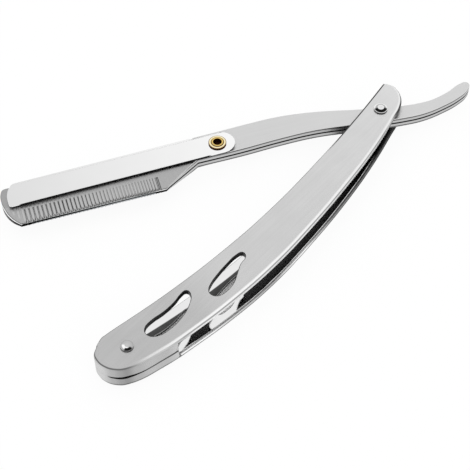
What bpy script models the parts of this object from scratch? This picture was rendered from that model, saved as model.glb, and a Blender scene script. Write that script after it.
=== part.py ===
"""Folding razor: a bowed two-plate handle, a two-leaf arm with a half blade, and a swinging cover.

All lengths are in metres. X runs from the pivot rivet to the end rivet, Y towards the convex back
of the handle, and Z up from the plane that the razor lies on. The pivot's axis is the Z axis.
The arm has its own frame, turned about the pivot: x towards the toe, y towards the cutting edge.
"""
import math

import bmesh
import bpy
from mathutils import Matrix, Vector

# Handle plates
PIN_DISTANCE = 0.1147
PLATE_WIDTH = 0.0137
PIVOT_END_REACH = 0.0115
FAR_END_REACH = 0.0085
PLATE_SHEET = 0.0010
HANDLE_THICKNESS = 0.0092
PLATE_BOW = 0.0009
RIM_BEND_RADIUS = 0.0014
RIM_DEPTH = 0.0016
DEEP_RIM_LENGTH = 0.0187
RIM_SEAM = 0.0002
RIM_SLIT_LENGTH = 0.0078
RIM_SLIT_HEIGHT = 0.00025
RIM_SLIT_TURN = math.radians(-37)
BOW_STATION_SPACING = 0.0055
WALL_TRIM_LIFT = 0.00005

# Cut-outs of the plates
FAR_CUTOUT_LENGTH = 0.0176
FAR_CUTOUT_WIDTH = 0.0057
FAR_CUTOUT_INSET = 0.0062
NEAR_CUTOUT_LENGTH = 0.0164
NEAR_CUTOUT_WIDTH = 0.0059
CUTOUT_BRIDGE = 0.0033

# Handle rivets, spacer and washers
PIVOT_SHANK_RADIUS = 0.0013
PIVOT_HEAD_RADIUS = 0.0021
PIVOT_HEAD_FLAT_RADIUS = 0.0015
END_SHANK_RADIUS = 0.0011
END_HEAD_RADIUS = 0.0018
END_HEAD_FLAT_RADIUS = 0.0006
END_HEAD_RISE = 0.0007
SPACER_RADIUS = 0.0020
WASHER_RADIUS = 0.0030

# Arm leaves
ARM_REST_ANGLE = math.radians(-31.712)
ARM_THICKNESS = 0.0037
LEAF_SEAM = 0.0003
TANG_REACH = 0.0325
SHANK_LENGTH = 0.0595
SHANK_WIDTH = 0.0092
EDGE_START = 0.0716
EDGE_LENGTH = 0.0442
EDGE_LINE = 0.0073
TOE_BULGE = 0.0039
SPINE_AT_TOE = 0.00645
SPINE_AT_HEEL = 0.0076
EDGE_THICKNESS = 0.0014
WEDGE_START = 0.0010

# Ribs of the head
RIB_COUNT = 38
RIB_PITCH_AT_TOE = 0.00134
RIB_PITCH_AT_HEEL = 0.00084
FIRST_RIB_FROM_TOE = 0.0014
RIB_LENGTH = 0.0044
RIB_GROOVE_DEPTH = 0.00012

# Half blade and its pins
BLADE_LENGTH = 0.0430
BLADE_CORNER_NOTCH = 0.0028
BLADE_WIDTH = 0.0110
BLADE_SHEET = 0.0001
BLADE_SHOW = 0.0004
BLADE_TAB_WIDTH = 0.0063
BLADE_PIN_FROM_END = 0.0075
BLADE_PIN_RADIUS = 0.0011
BLADE_PIN_INSET = 0.0001
BLADE_NECK_RECESS = 0.0007
BED_DEPTH = 0.0002

# Cover and its eyelet
EYELET_ALONG = 0.0522
EYELET_ACROSS = -0.0036
COVER_TILT = math.radians(1.15)
COVER_SHEET = 0.0007
COVER_BEND_RADIUS = 0.0012
COVER_REACH = 0.0657
COVER_OPEN_SIDE = 0.0042
COVER_REAR_OPEN_SIDE = 0.0028
COVER_TOE_ROUND_LENGTH = 0.0046
COVER_TOE_ROUND_WIDTH = 0.0069
COVER_OPEN_CORNER_RADIUS = 0.0008
COVER_TONGUE_LENGTH = 0.0074
COVER_TONGUE_END = 0.0055
EYELET_BORE_RADIUS = 0.0013
EYELET_BARREL_RADIUS = 0.0016
EYELET_FLANGE_RADIUS = 0.00275
EYELET_FLANGE_SHEET = 0.0004
EYELET_LIP = 0.00013

# Clearances, and how finely round forms are drawn
FIT_GAP = 0.0003
CUT_OVERRUN = 0.0060
MERGE_DISTANCE = 0.000001
TURNED_STEPS = 28
OUTLINE_STEPS = 5
PLATE_STEPS = 6
RIM_BEND_STEPS = 2
CUTOUT_STEPS = 3
STRAIGHT_STEPS = 1
BEND_STEPS = 5
TOE_ROUND_STEPS = 8
OPEN_CORNER_STEPS = 3
TONGUE_STEPS = 12
SMOOTH_ANGLE = math.radians(35)
FLAT_ANGLE = math.radians(0.05)

# Heights that the sizes above give
MID_PLANE = HANDLE_THICKNESS / 2 + PLATE_BOW
PLATE_INSIDE = HANDLE_THICKNESS / 2 - PLATE_SHEET
LEAF_INSIDE = LEAF_SEAM / 2
LEAF_OUTSIDE = ARM_THICKNESS / 2
COVER_INSIDE = LEAF_OUTSIDE + FIT_GAP
COVER_OUTSIDE = COVER_INSIDE + COVER_SHEET
TOE_CORNER = EDGE_START + EDGE_LENGTH

# Outline tables: shares along and across, from the pivot towards the far end
CONCAVE_EDGE_SHARES = [
    (0.05, -0.285),
    (0.26, -0.105),
    (0.48, -0.025),
    (0.66, -0.085),
    (0.82, -0.240),
    (0.93, -0.395),
    (0.985, -0.480),
    (1.02, -0.525),
]
CONVEX_EDGE_SHARES = [
    (0.95, 0.610),
    (0.86, 0.755),
    (0.74, 0.890),
    (0.60, 0.962),
    (0.44, 0.915),
    (0.27, 0.785),
    (0.12, 0.600),
    (0.0, 0.380),
]
FAR_END_SHARES = [
    (0.62, -0.478),
    (0.86, -0.395),
    (0.985, -0.235),
    (1.0, -0.060),
    (0.87, 0.160),
    (0.60, 0.330),
]
PIVOT_END_SHARES = [
    (-0.48, 0.275),
    (-0.80, 0.100),
    (-0.96, -0.110),
    (-0.995, -0.290),
]
PIVOT_CORNER_SHARES = (-0.86, -0.435)
RIM_SLIT_SHARES = (0.54, 0.245)
BOW_RISE_SHARE = 0.35
BOW_FALL_SHARE = 0.57

# Rivet heads: shares of the head's height
HEAD_SHOULDER_SHARE = 0.45
HEAD_CROWN_SHARE = 0.82

# Cut-outs: shares of their own length, from the blunt end to the tip, and of their own width
FAR_CUTOUT_SHARES = [
    (0.0, 0.40),
    (0.05, 0.09),
    (0.22, 0.0),
    (0.46, 0.12),
    (0.72, 0.14),
    (0.90, 0.07),
    (0.99, 0.13),
    (0.985, 0.40),
    (0.82, 0.77),
    (0.60, 0.97),
    (0.32, 1.0),
    (0.08, 0.79),
]
NEAR_CUTOUT_SHARES = [
    (0.0, 0.55),
    (0.04, 0.33),
    (0.16, 0.17),
    (0.38, 0.06),
    (0.66, 0.0),
    (0.90, 0.01),
    (1.0, 0.13),
    (0.97, 0.38),
    (0.80, 0.48),
    (0.60, 0.73),
    (0.42, 0.95),
    (0.22, 1.0),
    (0.05, 0.86),
]
FAR_CUTOUT_FOOT_SHARE = -0.044
NEAR_CUTOUT_FOOT_SHARE = 0.212

# Arm: shares of the tang's reach or the shank's length, and of the shank's width
SHANK_EDGE_SIDE_SHARES = [
    (0.0, 0.283),
    (0.19, 0.105),
    (0.36, -0.030),
    (0.54, -0.045),
    (0.76, 0.005),
]
SHANK_SHOULDER_SHARE = -0.968
SHANK_SPINE_SIDE_SHARES = [
    (0.84, -0.985),
    (0.68, -1.015),
    (0.52, -1.010),
    (0.40, -0.925),
    (0.26, -0.755),
    (0.13, -0.540),
    (0.0, -0.348),
]
TANG_SHARES = [
    (0.24, -0.190),
    (0.42, -0.118),
    (0.58, -0.145),
    (0.76, -0.320),
    (0.91, -0.545),
    (0.98, -0.560),
    (1.0, -0.430),
    (0.95, -0.190),
    (0.84, 0.030),
    (0.66, 0.235),
    (0.42, 0.385),
    (0.20, 0.365),
]
TOE_SHARES = [
    (0.54, 0.645),
    (0.92, 0.100),
    (1.0, -0.330),
    (0.92, -0.640),
    (0.70, -0.850),
]
SPINE_TOE_SHARE = 0.45


def clear_scene():
    for old in list(bpy.data.objects):
        bpy.data.objects.remove(old, do_unlink=True)


def make_collection(name):
    collection = bpy.data.collections.new(name)
    bpy.context.scene.collection.children.link(collection)
    return collection


clear_scene()
RAZOR = make_collection("folding_razor")
CUTTERS = make_collection("cutters")


def make_material(name, colour, roughness, metallic):
    material = bpy.data.materials.new(name)
    material.use_nodes = True
    shader = material.node_tree.nodes["Principled BSDF"]
    shader.inputs["Base Color"].default_value = (*colour, 1.0)
    shader.inputs["Roughness"].default_value = roughness
    shader.inputs["Metallic"].default_value = metallic
    return material


def make_axis(name, place, angle, parent=None):
    axis = bpy.data.objects.new(name, None)
    axis.location = place
    axis.rotation_euler = (0, 0, angle)
    axis.parent = parent
    axis.empty_display_size = SPACER_RADIUS
    RAZOR.objects.link(axis)
    return axis


def link_solid(name, mesh, collection=RAZOR, parent=None):
    solid = bpy.data.objects.new(name, mesh)
    solid.parent = parent
    collection.objects.link(solid)
    return solid


def as_cutter(solid):
    solid.hide_render = True
    solid.display_type = "WIRE"
    return solid


def finish_piece(solid, material):
    solid.data.materials.clear()
    solid.data.materials.append(material)
    return solid


def evaluated_mesh(solid):
    bpy.context.view_layer.update()
    graph = bpy.context.evaluated_depsgraph_get()
    return bpy.data.meshes.new_from_object(solid.evaluated_get(graph))


def shade_round(mesh):
    mesh.shade_smooth()
    mesh.set_sharp_from_angle(angle=SMOOTH_ANGLE)


def scaled(shares, along, across, start=0):
    return [(start + share_x * along, share_y * across) for share_x, share_y in shares]


def smooth(points):
    return [(x, y, "AUTO") for x, y in points]


def corners(points):
    return [(x, y, "VECTOR") for x, y in points]


def outline_curve(name, loop, resolution):
    """A closed flat curve through the loop's points."""
    curve = bpy.data.curves.new(name, "CURVE")
    curve.dimensions = "2D"
    curve.fill_mode = "BOTH"
    curve.resolution_u = resolution
    spline = curve.splines.new("BEZIER")
    spline.bezier_points.add(len(loop) - 1)
    for point, (x, y, handle) in zip(spline.bezier_points, loop):
        point.co = (x, y, 0)
        point.handle_left_type = handle
        point.handle_right_type = handle
    spline.use_cyclic_u = True
    return curve


def join_faces(form):
    """Join the vertices that touch and melt the edges between faces in one plane."""
    bmesh.ops.remove_doubles(form, verts=form.verts, dist=MERGE_DISTANCE)
    bmesh.ops.dissolve_limit(form, angle_limit=FLAT_ANGLE, verts=form.verts, edges=form.edges)


def curve_to_mesh(curve):
    """The closed mesh of a filled curve, with its caps joined to its walls."""
    drawing = bpy.data.objects.new(curve.name, curve)
    CUTTERS.objects.link(drawing)
    mesh = evaluated_mesh(drawing)
    bpy.data.objects.remove(drawing, do_unlink=True)
    form = bmesh.new()
    form.from_mesh(mesh)
    join_faces(form)
    bmesh.ops.recalc_face_normals(form, faces=form.faces)
    form.to_mesh(mesh)
    form.free()
    return mesh


def flat_mesh(name, loop, bottom, top, resolution=OUTLINE_STEPS):
    """A flat outline raised between two heights."""
    curve = outline_curve(name, loop, resolution)
    curve.extrude = (top - bottom) / 2
    mesh = curve_to_mesh(curve)
    mesh.transform(Matrix.Translation((0, 0, (top + bottom) / 2)))
    return mesh


def box_mesh(name, low, high):
    form = bmesh.new()
    size = Vector(high) - Vector(low)
    middle = (Vector(high) + Vector(low)) / 2
    bmesh.ops.create_cube(form, size=1, matrix=Matrix.Translation(middle) @ Matrix.Diagonal((*size, 1)))
    mesh = bpy.data.meshes.new(name)
    form.to_mesh(mesh)
    form.free()
    return mesh


def rod_mesh(name, x, y, bottom, top, radius):
    form = bmesh.new()
    middle = Matrix.Translation((x, y, (top + bottom) / 2))
    bmesh.ops.create_cone(
        form,
        cap_ends=True,
        segments=TURNED_STEPS,
        radius1=radius,
        radius2=radius,
        depth=top - bottom,
        matrix=middle,
    )
    mesh = bpy.data.meshes.new(name)
    form.to_mesh(mesh)
    form.free()
    return mesh


def subtract(solid, mesh, parent=None):
    """Cut a mesh, placed in the same frame as the solid, out of the solid."""
    cutter = as_cutter(link_solid(mesh.name, mesh, CUTTERS, parent))
    cut = solid.modifiers.new(mesh.name, "BOOLEAN")
    cut.operation = "DIFFERENCE"
    cut.solver = "EXACT"
    cut.object = cutter
    return cutter


def turned_solid(name, profile, x, y, parent, material, closed_ring=False):
    """A round piece: the profile, listed down its outer side, turned about its own upright axis."""
    mesh = bpy.data.meshes.new(name)
    edges = [(i, i + 1) for i in range(len(profile) - 1)]
    if closed_ring:
        edges.append((len(edges), 0))
    mesh.from_pydata([(radius, 0, height) for radius, height in profile], edges, [])
    solid = link_solid(name, mesh, RAZOR, parent)
    solid.location = (x, y, MID_PLANE)
    turn = solid.modifiers.new("turn", "SCREW")
    turn.steps = TURNED_STEPS
    turn.render_steps = TURNED_STEPS
    turn.use_merge_vertices = True
    turn.merge_threshold = MERGE_DISTANCE
    turn.use_smooth_shade = True
    return finish_piece(solid, material)


def plate_end_points():
    far_end = scaled(FAR_END_SHARES, FAR_END_REACH, PLATE_WIDTH, PIN_DISTANCE)
    pivot_end = scaled(PIVOT_END_SHARES, PIVOT_END_REACH, PLATE_WIDTH)
    return far_end, pivot_end


def pivot_corner():
    """Where the round pivot end meets the plate's free concave edge."""
    return PIVOT_CORNER_SHARES[0] * PIVOT_END_REACH, PIVOT_CORNER_SHARES[1] * PLATE_WIDTH


def tray_loop():
    """The plate's outline, with its concave side pushed out past the edge that is trimmed later."""
    far_end, pivot_end = plate_end_points()
    convex = scaled(CONVEX_EDGE_SHARES, PIN_DISTANCE, PLATE_WIDTH)
    corner_x, corner_y = pivot_corner()
    last_x, last_y = pivot_end[-1]
    reach = CUT_OVERRUN / (last_y - corner_y)
    past_corner = (corner_x + (corner_x - last_x) * reach, corner_y - CUT_OVERRUN)
    below_wall = (far_end[0][0], past_corner[1])
    return smooth(far_end[1:] + convex + pivot_end) + corners([past_corner, below_wall, far_end[0]])


def beyond_concave_edge():
    """The ground outside the plate's free concave edge, from the pivot end to the far end's wall."""
    far_end, _ = plate_end_points()
    wall_x, wall_y = far_end[0]
    corner_x, corner_y = pivot_corner()
    edge = scaled(CONCAVE_EDGE_SHARES, PIN_DISTANCE, PLATE_WIDTH)
    floor_y = wall_y - CUT_OVERRUN - CUT_OVERRUN
    near_x = -PIVOT_END_REACH - CUT_OVERRUN
    outer = [(wall_x + CUT_OVERRUN, floor_y), (near_x, floor_y), (near_x, corner_y)]
    ends = [edge[-1], (wall_x, wall_y + WALL_TRIM_LIFT)]
    return corners([(corner_x, corner_y)]) + smooth(edge[:-1]) + corners(ends + outer)


def cutout_loop(shares, blunt_x, length, foot_y, width):
    return smooth([(blunt_x - along * length, foot_y + across * width) for along, across in shares])


def cutout_meshes(bottom, top):
    far_blunt = PIN_DISTANCE - FAR_CUTOUT_INSET
    near_blunt = far_blunt - FAR_CUTOUT_LENGTH - CUTOUT_BRIDGE
    far_foot = FAR_CUTOUT_FOOT_SHARE * PLATE_WIDTH
    near_foot = NEAR_CUTOUT_FOOT_SHARE * PLATE_WIDTH
    far = cutout_loop(FAR_CUTOUT_SHARES, far_blunt, FAR_CUTOUT_LENGTH, far_foot, FAR_CUTOUT_WIDTH)
    near = cutout_loop(NEAR_CUTOUT_SHARES, near_blunt, NEAR_CUTOUT_LENGTH, near_foot, NEAR_CUTOUT_WIDTH)
    yield flat_mesh("far_cutout", far, bottom, top, CUTOUT_STEPS)
    yield flat_mesh("near_cutout", near, bottom, top, CUTOUT_STEPS)


def rim_slit_mesh():
    """The upper half of the lens-shaped gap that the two rims leave at the far end."""
    half = RIM_SLIT_LENGTH / 2
    ends = [corners([(half, 0)]), corners([(-half, 0)])]
    sides = [smooth([(0, RIM_SLIT_HEIGHT)]), smooth([(0, -RIM_SLIT_HEIGHT)])]
    lens = ends[0] + sides[0] + ends[1] + sides[1]
    mesh = flat_mesh("rim_slit", lens, -CUT_OVERRUN / 2, CUT_OVERRUN / 2)
    x = PIN_DISTANCE + RIM_SLIT_SHARES[0] * FAR_END_REACH
    y = RIM_SLIT_SHARES[1] * PLATE_WIDTH
    upright = Matrix.Rotation(RIM_SLIT_TURN, 4, "Z") @ Matrix.Rotation(math.pi / 2, 4, "X")
    mesh.transform(Matrix.Translation((x, y, RIM_SEAM / 2)) @ upright)
    return mesh


def tray_skin_mesh():
    """The open skin of a plate: its face, its bend and a wall down to the middle of the handle."""
    curve = outline_curve("tray", tray_loop(), PLATE_STEPS)
    curve.bevel_depth = RIM_BEND_RADIUS
    curve.bevel_resolution = RIM_BEND_STEPS
    curve.extrude = HANDLE_THICKNESS / 2 - RIM_BEND_RADIUS
    curve.offset = -RIM_BEND_RADIUS
    mesh = curve_to_mesh(curve)
    form = bmesh.new()
    form.from_mesh(mesh)
    everything = form.verts[:] + form.edges[:] + form.faces[:]
    seam = (0, 0, RIM_SEAM / 2)
    bmesh.ops.bisect_plane(form, geom=everything, plane_co=seam, plane_no=(0, 0, 1), clear_inner=True)
    form.to_mesh(mesh)
    form.free()
    return mesh


def bow_share(along):
    """How much of the full bow a plate has at this distance from the pivot."""
    share = along / PIN_DISTANCE
    rise = min(max(share / BOW_RISE_SHARE, 0), 1)
    fall = min(max((share - BOW_FALL_SHARE) / (1 - BOW_FALL_SHARE), 0), 1)
    return rise * rise * (3 - 2 * rise) * (1 - fall * fall * (3 - 2 * fall))


def bow_stations():
    """Distances along the handle between which a plate runs straight."""
    rise = BOW_RISE_SHARE * PIN_DISTANCE
    fall = BOW_FALL_SHARE * PIN_DISTANCE
    stations = []
    for start, end in ((0, rise), (fall, PIN_DISTANCE)):
        count = round((end - start) / BOW_STATION_SPACING)
        stations += [start + (end - start) * i / count for i in range(count + 1)]
    return stations


def bow_height(along, stations):
    if along <= stations[0] or along >= stations[-1]:
        return 0
    for start, end in zip(stations, stations[1:]):
        if along <= end:
            part = (along - start) / (end - start)
            return PLATE_BOW * ((1 - part) * bow_share(start) + part * bow_share(end))
    return 0


def bow_plate(mesh):
    """Cut the flat plate across at the stations and lift each vertex by the bow there."""
    stations = bow_stations()
    form = bmesh.new()
    form.from_mesh(mesh)
    join_faces(form)
    for along in stations:
        everything = form.verts[:] + form.edges[:] + form.faces[:]
        bmesh.ops.bisect_plane(form, geom=everything, plane_co=(along, 0, 0), plane_no=(1, 0, 0))
    for vertex in form.verts:
        vertex.co.z += bow_height(vertex.co.x, stations)
    form.to_mesh(mesh)
    form.free()


def plate_mesh():
    """The upper plate, with its height measured from the middle of the handle."""
    skin = link_solid("plate_blank", tray_skin_mesh(), CUTTERS)
    wall = skin.modifiers.new("sheet", "SOLIDIFY")
    wall.thickness = PLATE_SHEET
    wall.offset = -1
    wall.use_even_offset = True
    top = HANDLE_THICKNESS / 2 + CUT_OVERRUN
    bottom = -CUT_OVERRUN
    subtract(skin, flat_mesh("concave_trim", beyond_concave_edge(), bottom, top))
    low = (-PIVOT_END_REACH - CUT_OVERRUN, -PLATE_WIDTH - CUT_OVERRUN, bottom)
    high = (
        PIN_DISTANCE + FAR_END_REACH - DEEP_RIM_LENGTH,
        PLATE_WIDTH + CUT_OVERRUN,
        HANDLE_THICKNESS / 2 - RIM_DEPTH,
    )
    subtract(skin, box_mesh("rim_trim", low, high))
    subtract(skin, rim_slit_mesh())
    for cutout in cutout_meshes(bottom, top):
        subtract(skin, cutout)
    subtract(skin, rod_mesh("plate_pivot_hole", 0, 0, bottom, top, PIVOT_SHANK_RADIUS + FIT_GAP))
    subtract(skin, rod_mesh("plate_end_hole", PIN_DISTANCE, 0, bottom, top, END_SHANK_RADIUS + FIT_GAP))
    mesh = evaluated_mesh(skin)
    as_cutter(skin)
    bow_plate(mesh)
    shade_round(mesh)
    return mesh


def build_handle(steel):
    upper = plate_mesh()
    lower = upper.copy()
    lower.transform(Matrix.Diagonal((1, 1, -1, 1)))
    lower.flip_normals()
    front = finish_piece(link_solid("front_scale", upper), steel)
    rear = finish_piece(link_solid("rear_scale", lower), steel)
    for plate in (front, rear):
        plate.location = (0, 0, MID_PLANE)


def rivet_profile(shank_radius, head_radius, flat_radius, head_foot, head_top):
    """Half a section of a rivet whose two heads are alike."""
    rise = head_top - head_foot
    upper = [
        (0, head_top),
        (flat_radius, head_top),
        ((flat_radius + head_radius) / 2, head_foot + rise * HEAD_CROWN_SHARE),
        (head_radius, head_foot + rise * HEAD_SHOULDER_SHARE),
        (head_radius, head_foot),
        (shank_radius, head_foot),
    ]
    lower = [(radius, -height) for radius, height in reversed(upper)]
    return upper + lower


def ring_profile(bore_radius, radius, bottom, top):
    return [(bore_radius, top), (radius, top), (radius, bottom), (bore_radius, bottom)]


def build_handle_fasteners(steel):
    plate_face = HANDLE_THICKNESS / 2
    head_foot = plate_face + FIT_GAP
    pivot_radii = (PIVOT_SHANK_RADIUS, PIVOT_HEAD_RADIUS, PIVOT_HEAD_FLAT_RADIUS)
    pivot = rivet_profile(*pivot_radii, head_foot, MID_PLANE)
    turned_solid("pivot_rivet", pivot, 0, 0, None, steel)
    end_radii = (END_SHANK_RADIUS, END_HEAD_RADIUS, END_HEAD_FLAT_RADIUS)
    end = rivet_profile(*end_radii, head_foot, plate_face + END_HEAD_RISE)
    turned_solid("end_rivet", end, PIN_DISTANCE, 0, None, steel)
    spacer_end = PLATE_INSIDE - FIT_GAP
    spacer = ring_profile(END_SHANK_RADIUS + FIT_GAP, SPACER_RADIUS, -spacer_end, spacer_end)
    turned_solid("end_spacer", spacer, PIN_DISTANCE, 0, None, steel, closed_ring=True)
    washer_bore = PIVOT_SHANK_RADIUS + FIT_GAP
    inner = LEAF_OUTSIDE + FIT_GAP
    outer = PLATE_INSIDE - FIT_GAP
    front = ring_profile(washer_bore, WASHER_RADIUS, inner, outer)
    rear = ring_profile(washer_bore, WASHER_RADIUS, -outer, -inner)
    turned_solid("pivot_washer_front", front, 0, 0, None, steel, closed_ring=True)
    turned_solid("pivot_washer_rear", rear, 0, 0, None, steel, closed_ring=True)


def cover_fold_line():
    """Outer face of the cover's fold in the cover's own frame, clear of the arm's spine."""
    along = TOE_CORNER - EYELET_ALONG
    spine = -SPINE_AT_TOE - EYELET_ACROSS - math.tan(COVER_TILT) * along
    return spine * math.cos(COVER_TILT) - FIT_GAP - COVER_SHEET


def inside_fold_swing(across):
    """The point at this height across the arm that the end of the swinging fold just clears."""
    swing = math.hypot(COVER_TONGUE_LENGTH, cover_fold_line() + COVER_SHEET) - FIT_GAP
    return EYELET_ALONG + math.sqrt(swing**2 - (across - EYELET_ACROSS) ** 2), across


def arm_loop():
    """The outline that both leaves share, from the tang's root round by way of the toe."""
    edge_side = scaled(SHANK_EDGE_SIDE_SHARES, SHANK_LENGTH, SHANK_WIDTH)
    heel_foot = (SHANK_LENGTH, SHANK_EDGE_SIDE_SHARES[-1][1] * SHANK_WIDTH)
    edge = [(EDGE_START, EDGE_LINE), (TOE_CORNER, EDGE_LINE)]
    toe = scaled(TOE_SHARES, TOE_BULGE, EDGE_LINE, TOE_CORNER)
    spine_toe = (TOE_CORNER + TOE_BULGE * SPINE_TOE_SHARE, -SPINE_AT_TOE)
    spine_heel = inside_fold_swing(-SPINE_AT_HEEL)
    shoulder = inside_fold_swing(SHANK_SHOULDER_SHARE * SHANK_WIDTH)
    spine_side = scaled(SHANK_SPINE_SIDE_SHARES, SHANK_LENGTH, SHANK_WIDTH)
    tang = scaled(TANG_SHARES, -TANG_REACH, SHANK_WIDTH)
    head = corners([heel_foot] + edge) + smooth(toe) + corners([spine_toe, spine_heel, shoulder])
    return smooth(edge_side) + head + smooth(spine_side + tang)


def wedge_mesh():
    """The block above the head's sloped flank, in the height of the front leaf."""
    fall = LEAF_OUTSIDE - EDGE_THICKNESS / 2
    slope = math.atan2(fall, EDGE_LINE - WEDGE_START)
    length = TOE_CORNER + TOE_BULGE + CUT_OVERRUN
    mesh = box_mesh("head_wedge", (SHANK_LENGTH, 0, 0), (length, CUT_OVERRUN + CUT_OVERRUN, CUT_OVERRUN))
    mesh.transform(wedge_matrix(slope))
    return mesh, slope


def wedge_matrix(slope):
    return Matrix.Translation((0, WEDGE_START, LEAF_OUTSIDE)) @ Matrix.Rotation(-slope, 4, "X")


def groove_places():
    """Grooves between the ribs, whose pitch narrows evenly from the toe to the heel."""
    along = TOE_CORNER - FIRST_RIB_FROM_TOE
    for i in range(RIB_COUNT):
        pitch = RIB_PITCH_AT_TOE + (RIB_PITCH_AT_HEEL - RIB_PITCH_AT_TOE) * i / (RIB_COUNT - 1)
        yield along - pitch / 2, pitch / 2
        along -= pitch


def groove_mesh(slope):
    """All grooves of one flank as one cutter, lying in the flank's slope."""
    form = bmesh.new()
    flank_end = (EDGE_LINE - WEDGE_START) / math.cos(slope)
    start = flank_end - RIB_LENGTH
    end = flank_end + RIB_LENGTH / 2
    for along, width in groove_places():
        size = (width, end - start, RIB_GROOVE_DEPTH * 2, 1)
        place = Matrix.Translation((along, (start + end) / 2, 0))
        bmesh.ops.create_cube(form, size=1, matrix=place @ Matrix.Diagonal(size))
    mesh = bpy.data.meshes.new("rib_grooves")
    form.to_mesh(mesh)
    form.free()
    mesh.transform(wedge_matrix(slope))
    return mesh


def blade_back():
    return EDGE_LINE + BLADE_SHOW - BLADE_WIDTH


def blade_middle():
    return EDGE_START + EDGE_LENGTH / 2


def blade_pin_places():
    reach = BLADE_LENGTH / 2 - BLADE_PIN_FROM_END
    return [(blade_middle() + reach, blade_back()), (blade_middle() - reach, blade_back())]


def bed_mesh():
    half = BLADE_LENGTH / 2 + FIT_GAP
    low = (blade_middle() - half, blade_back() - FIT_GAP, -CUT_OVERRUN)
    high = (blade_middle() + half, EDGE_LINE + CUT_OVERRUN, LEAF_INSIDE + BED_DEPTH)
    return box_mesh("blade_bed", low, high)


def leaf_mesh(side):
    """One leaf, its height measured from the middle: side is 1 for the front leaf, -1 for the rear."""
    blank = link_solid("leaf_blank", flat_mesh("leaf", arm_loop(), LEAF_INSIDE, LEAF_OUTSIDE), CUTTERS)
    wedge, slope = wedge_mesh()
    subtract(blank, wedge)
    subtract(blank, groove_mesh(slope))
    subtract(blank, bed_mesh())
    holes = [(0, 0, PIVOT_SHANK_RADIUS), (EYELET_ALONG, EYELET_ACROSS, EYELET_BARREL_RADIUS)]
    holes += [(x, y, BLADE_PIN_RADIUS) for x, y in blade_pin_places()]
    for x, y, radius in holes:
        subtract(blank, rod_mesh("leaf_hole", x, y, -CUT_OVERRUN, CUT_OVERRUN, radius + FIT_GAP))
    mesh = evaluated_mesh(blank)
    as_cutter(blank)
    if side < 0:
        mesh.transform(Matrix.Diagonal((1, 1, -1, 1)))
        mesh.flip_normals()
    shade_round(mesh)
    return mesh


def build_leaves(arm_axis, steel):
    for name, side in (("arm_front_leaf", 1), ("arm_rear_leaf", -1)):
        leaf = finish_piece(link_solid(name, leaf_mesh(side), RAZOR, arm_axis), steel)
        leaf.location = (0, 0, MID_PLANE)


def blade_loop():
    """Half of a snapped double-edge blade: notched corners and a broken back with its old slot."""
    middle = blade_middle()
    back = blade_back()
    front = EDGE_LINE + BLADE_SHOW
    tab_end = back + BLADE_TAB_WIDTH
    half = BLADE_LENGTH / 2
    half_edge = half - BLADE_CORNER_NOTCH
    slot = half - BLADE_PIN_FROM_END - BLADE_PIN_RADIUS - FIT_GAP
    slot_y = back + BLADE_NECK_RECESS
    right = [(half, back), (half, tab_end), (half_edge, tab_end), (half_edge, front)]
    left = [(-x, y) for x, y in reversed(right)]
    old_slot = [(-slot, back), (-slot, slot_y), (slot, slot_y), (slot, back)]
    return corners([(middle + x, y) for x, y in right + left + old_slot])


def build_blade(arm_axis, steel):
    half_sheet = BLADE_SHEET / 2
    mesh = flat_mesh("half_blade", blade_loop(), -half_sheet, half_sheet, STRAIGHT_STEPS)
    blade = finish_piece(link_solid("half_blade", mesh, RAZOR, arm_axis), steel)
    blade.location = (0, 0, MID_PLANE)
    top = CUT_OVERRUN + MID_PLANE
    for x, y in blade_pin_places():
        subtract(blade, rod_mesh("blade_hole", x, y, 0, top, BLADE_PIN_RADIUS + FIT_GAP), arm_axis)


def build_blade_pins(arm_axis, steel):
    top = LEAF_OUTSIDE - BLADE_PIN_INSET
    profile = [(0, top), (BLADE_PIN_RADIUS, top), (BLADE_PIN_RADIUS, -top), (0, -top)]
    for name, (x, y) in zip(("blade_pin_toe", "blade_pin_heel"), blade_pin_places()):
        turned_solid(name, profile, x, y, arm_axis, steel)


def quarter_oval(x, y, reach, rise, start, steps):
    """Points a quarter turn round a centre, anticlockwise from the starting angle."""
    turns = [start + math.pi / 2 * i / steps for i in range(steps + 1)]
    return [(x + reach * math.cos(turn), y + rise * math.sin(turn)) for turn in turns]


def quarter_arc(x, y, radius, start, steps):
    return quarter_oval(x, y, radius, radius, start, steps)


def cover_skin_curve():
    """The open U section of the cover, drawn across it and stretched along it."""
    bend_y = cover_fold_line() + COVER_BEND_RADIUS
    bend_z = COVER_OUTSIDE - COVER_BEND_RADIUS
    curve = bpy.data.curves.new("cover_skin", "CURVE")
    curve.dimensions = "3D"
    curve.extrude = COVER_REACH + CUT_OVERRUN
    spline = curve.splines.new("POLY")
    points = [(COVER_OPEN_SIDE + CUT_OVERRUN, COVER_OUTSIDE)]
    points += quarter_arc(bend_y, bend_z, COVER_BEND_RADIUS, math.pi / 2, BEND_STEPS)
    points += [(y, -z) for y, z in reversed(points)]
    spline.points.add(len(points[1:]))
    for point, (y, z) in zip(spline.points, reversed(points)):
        point.co = (y, z, 0, 1)
    return curve


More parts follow.
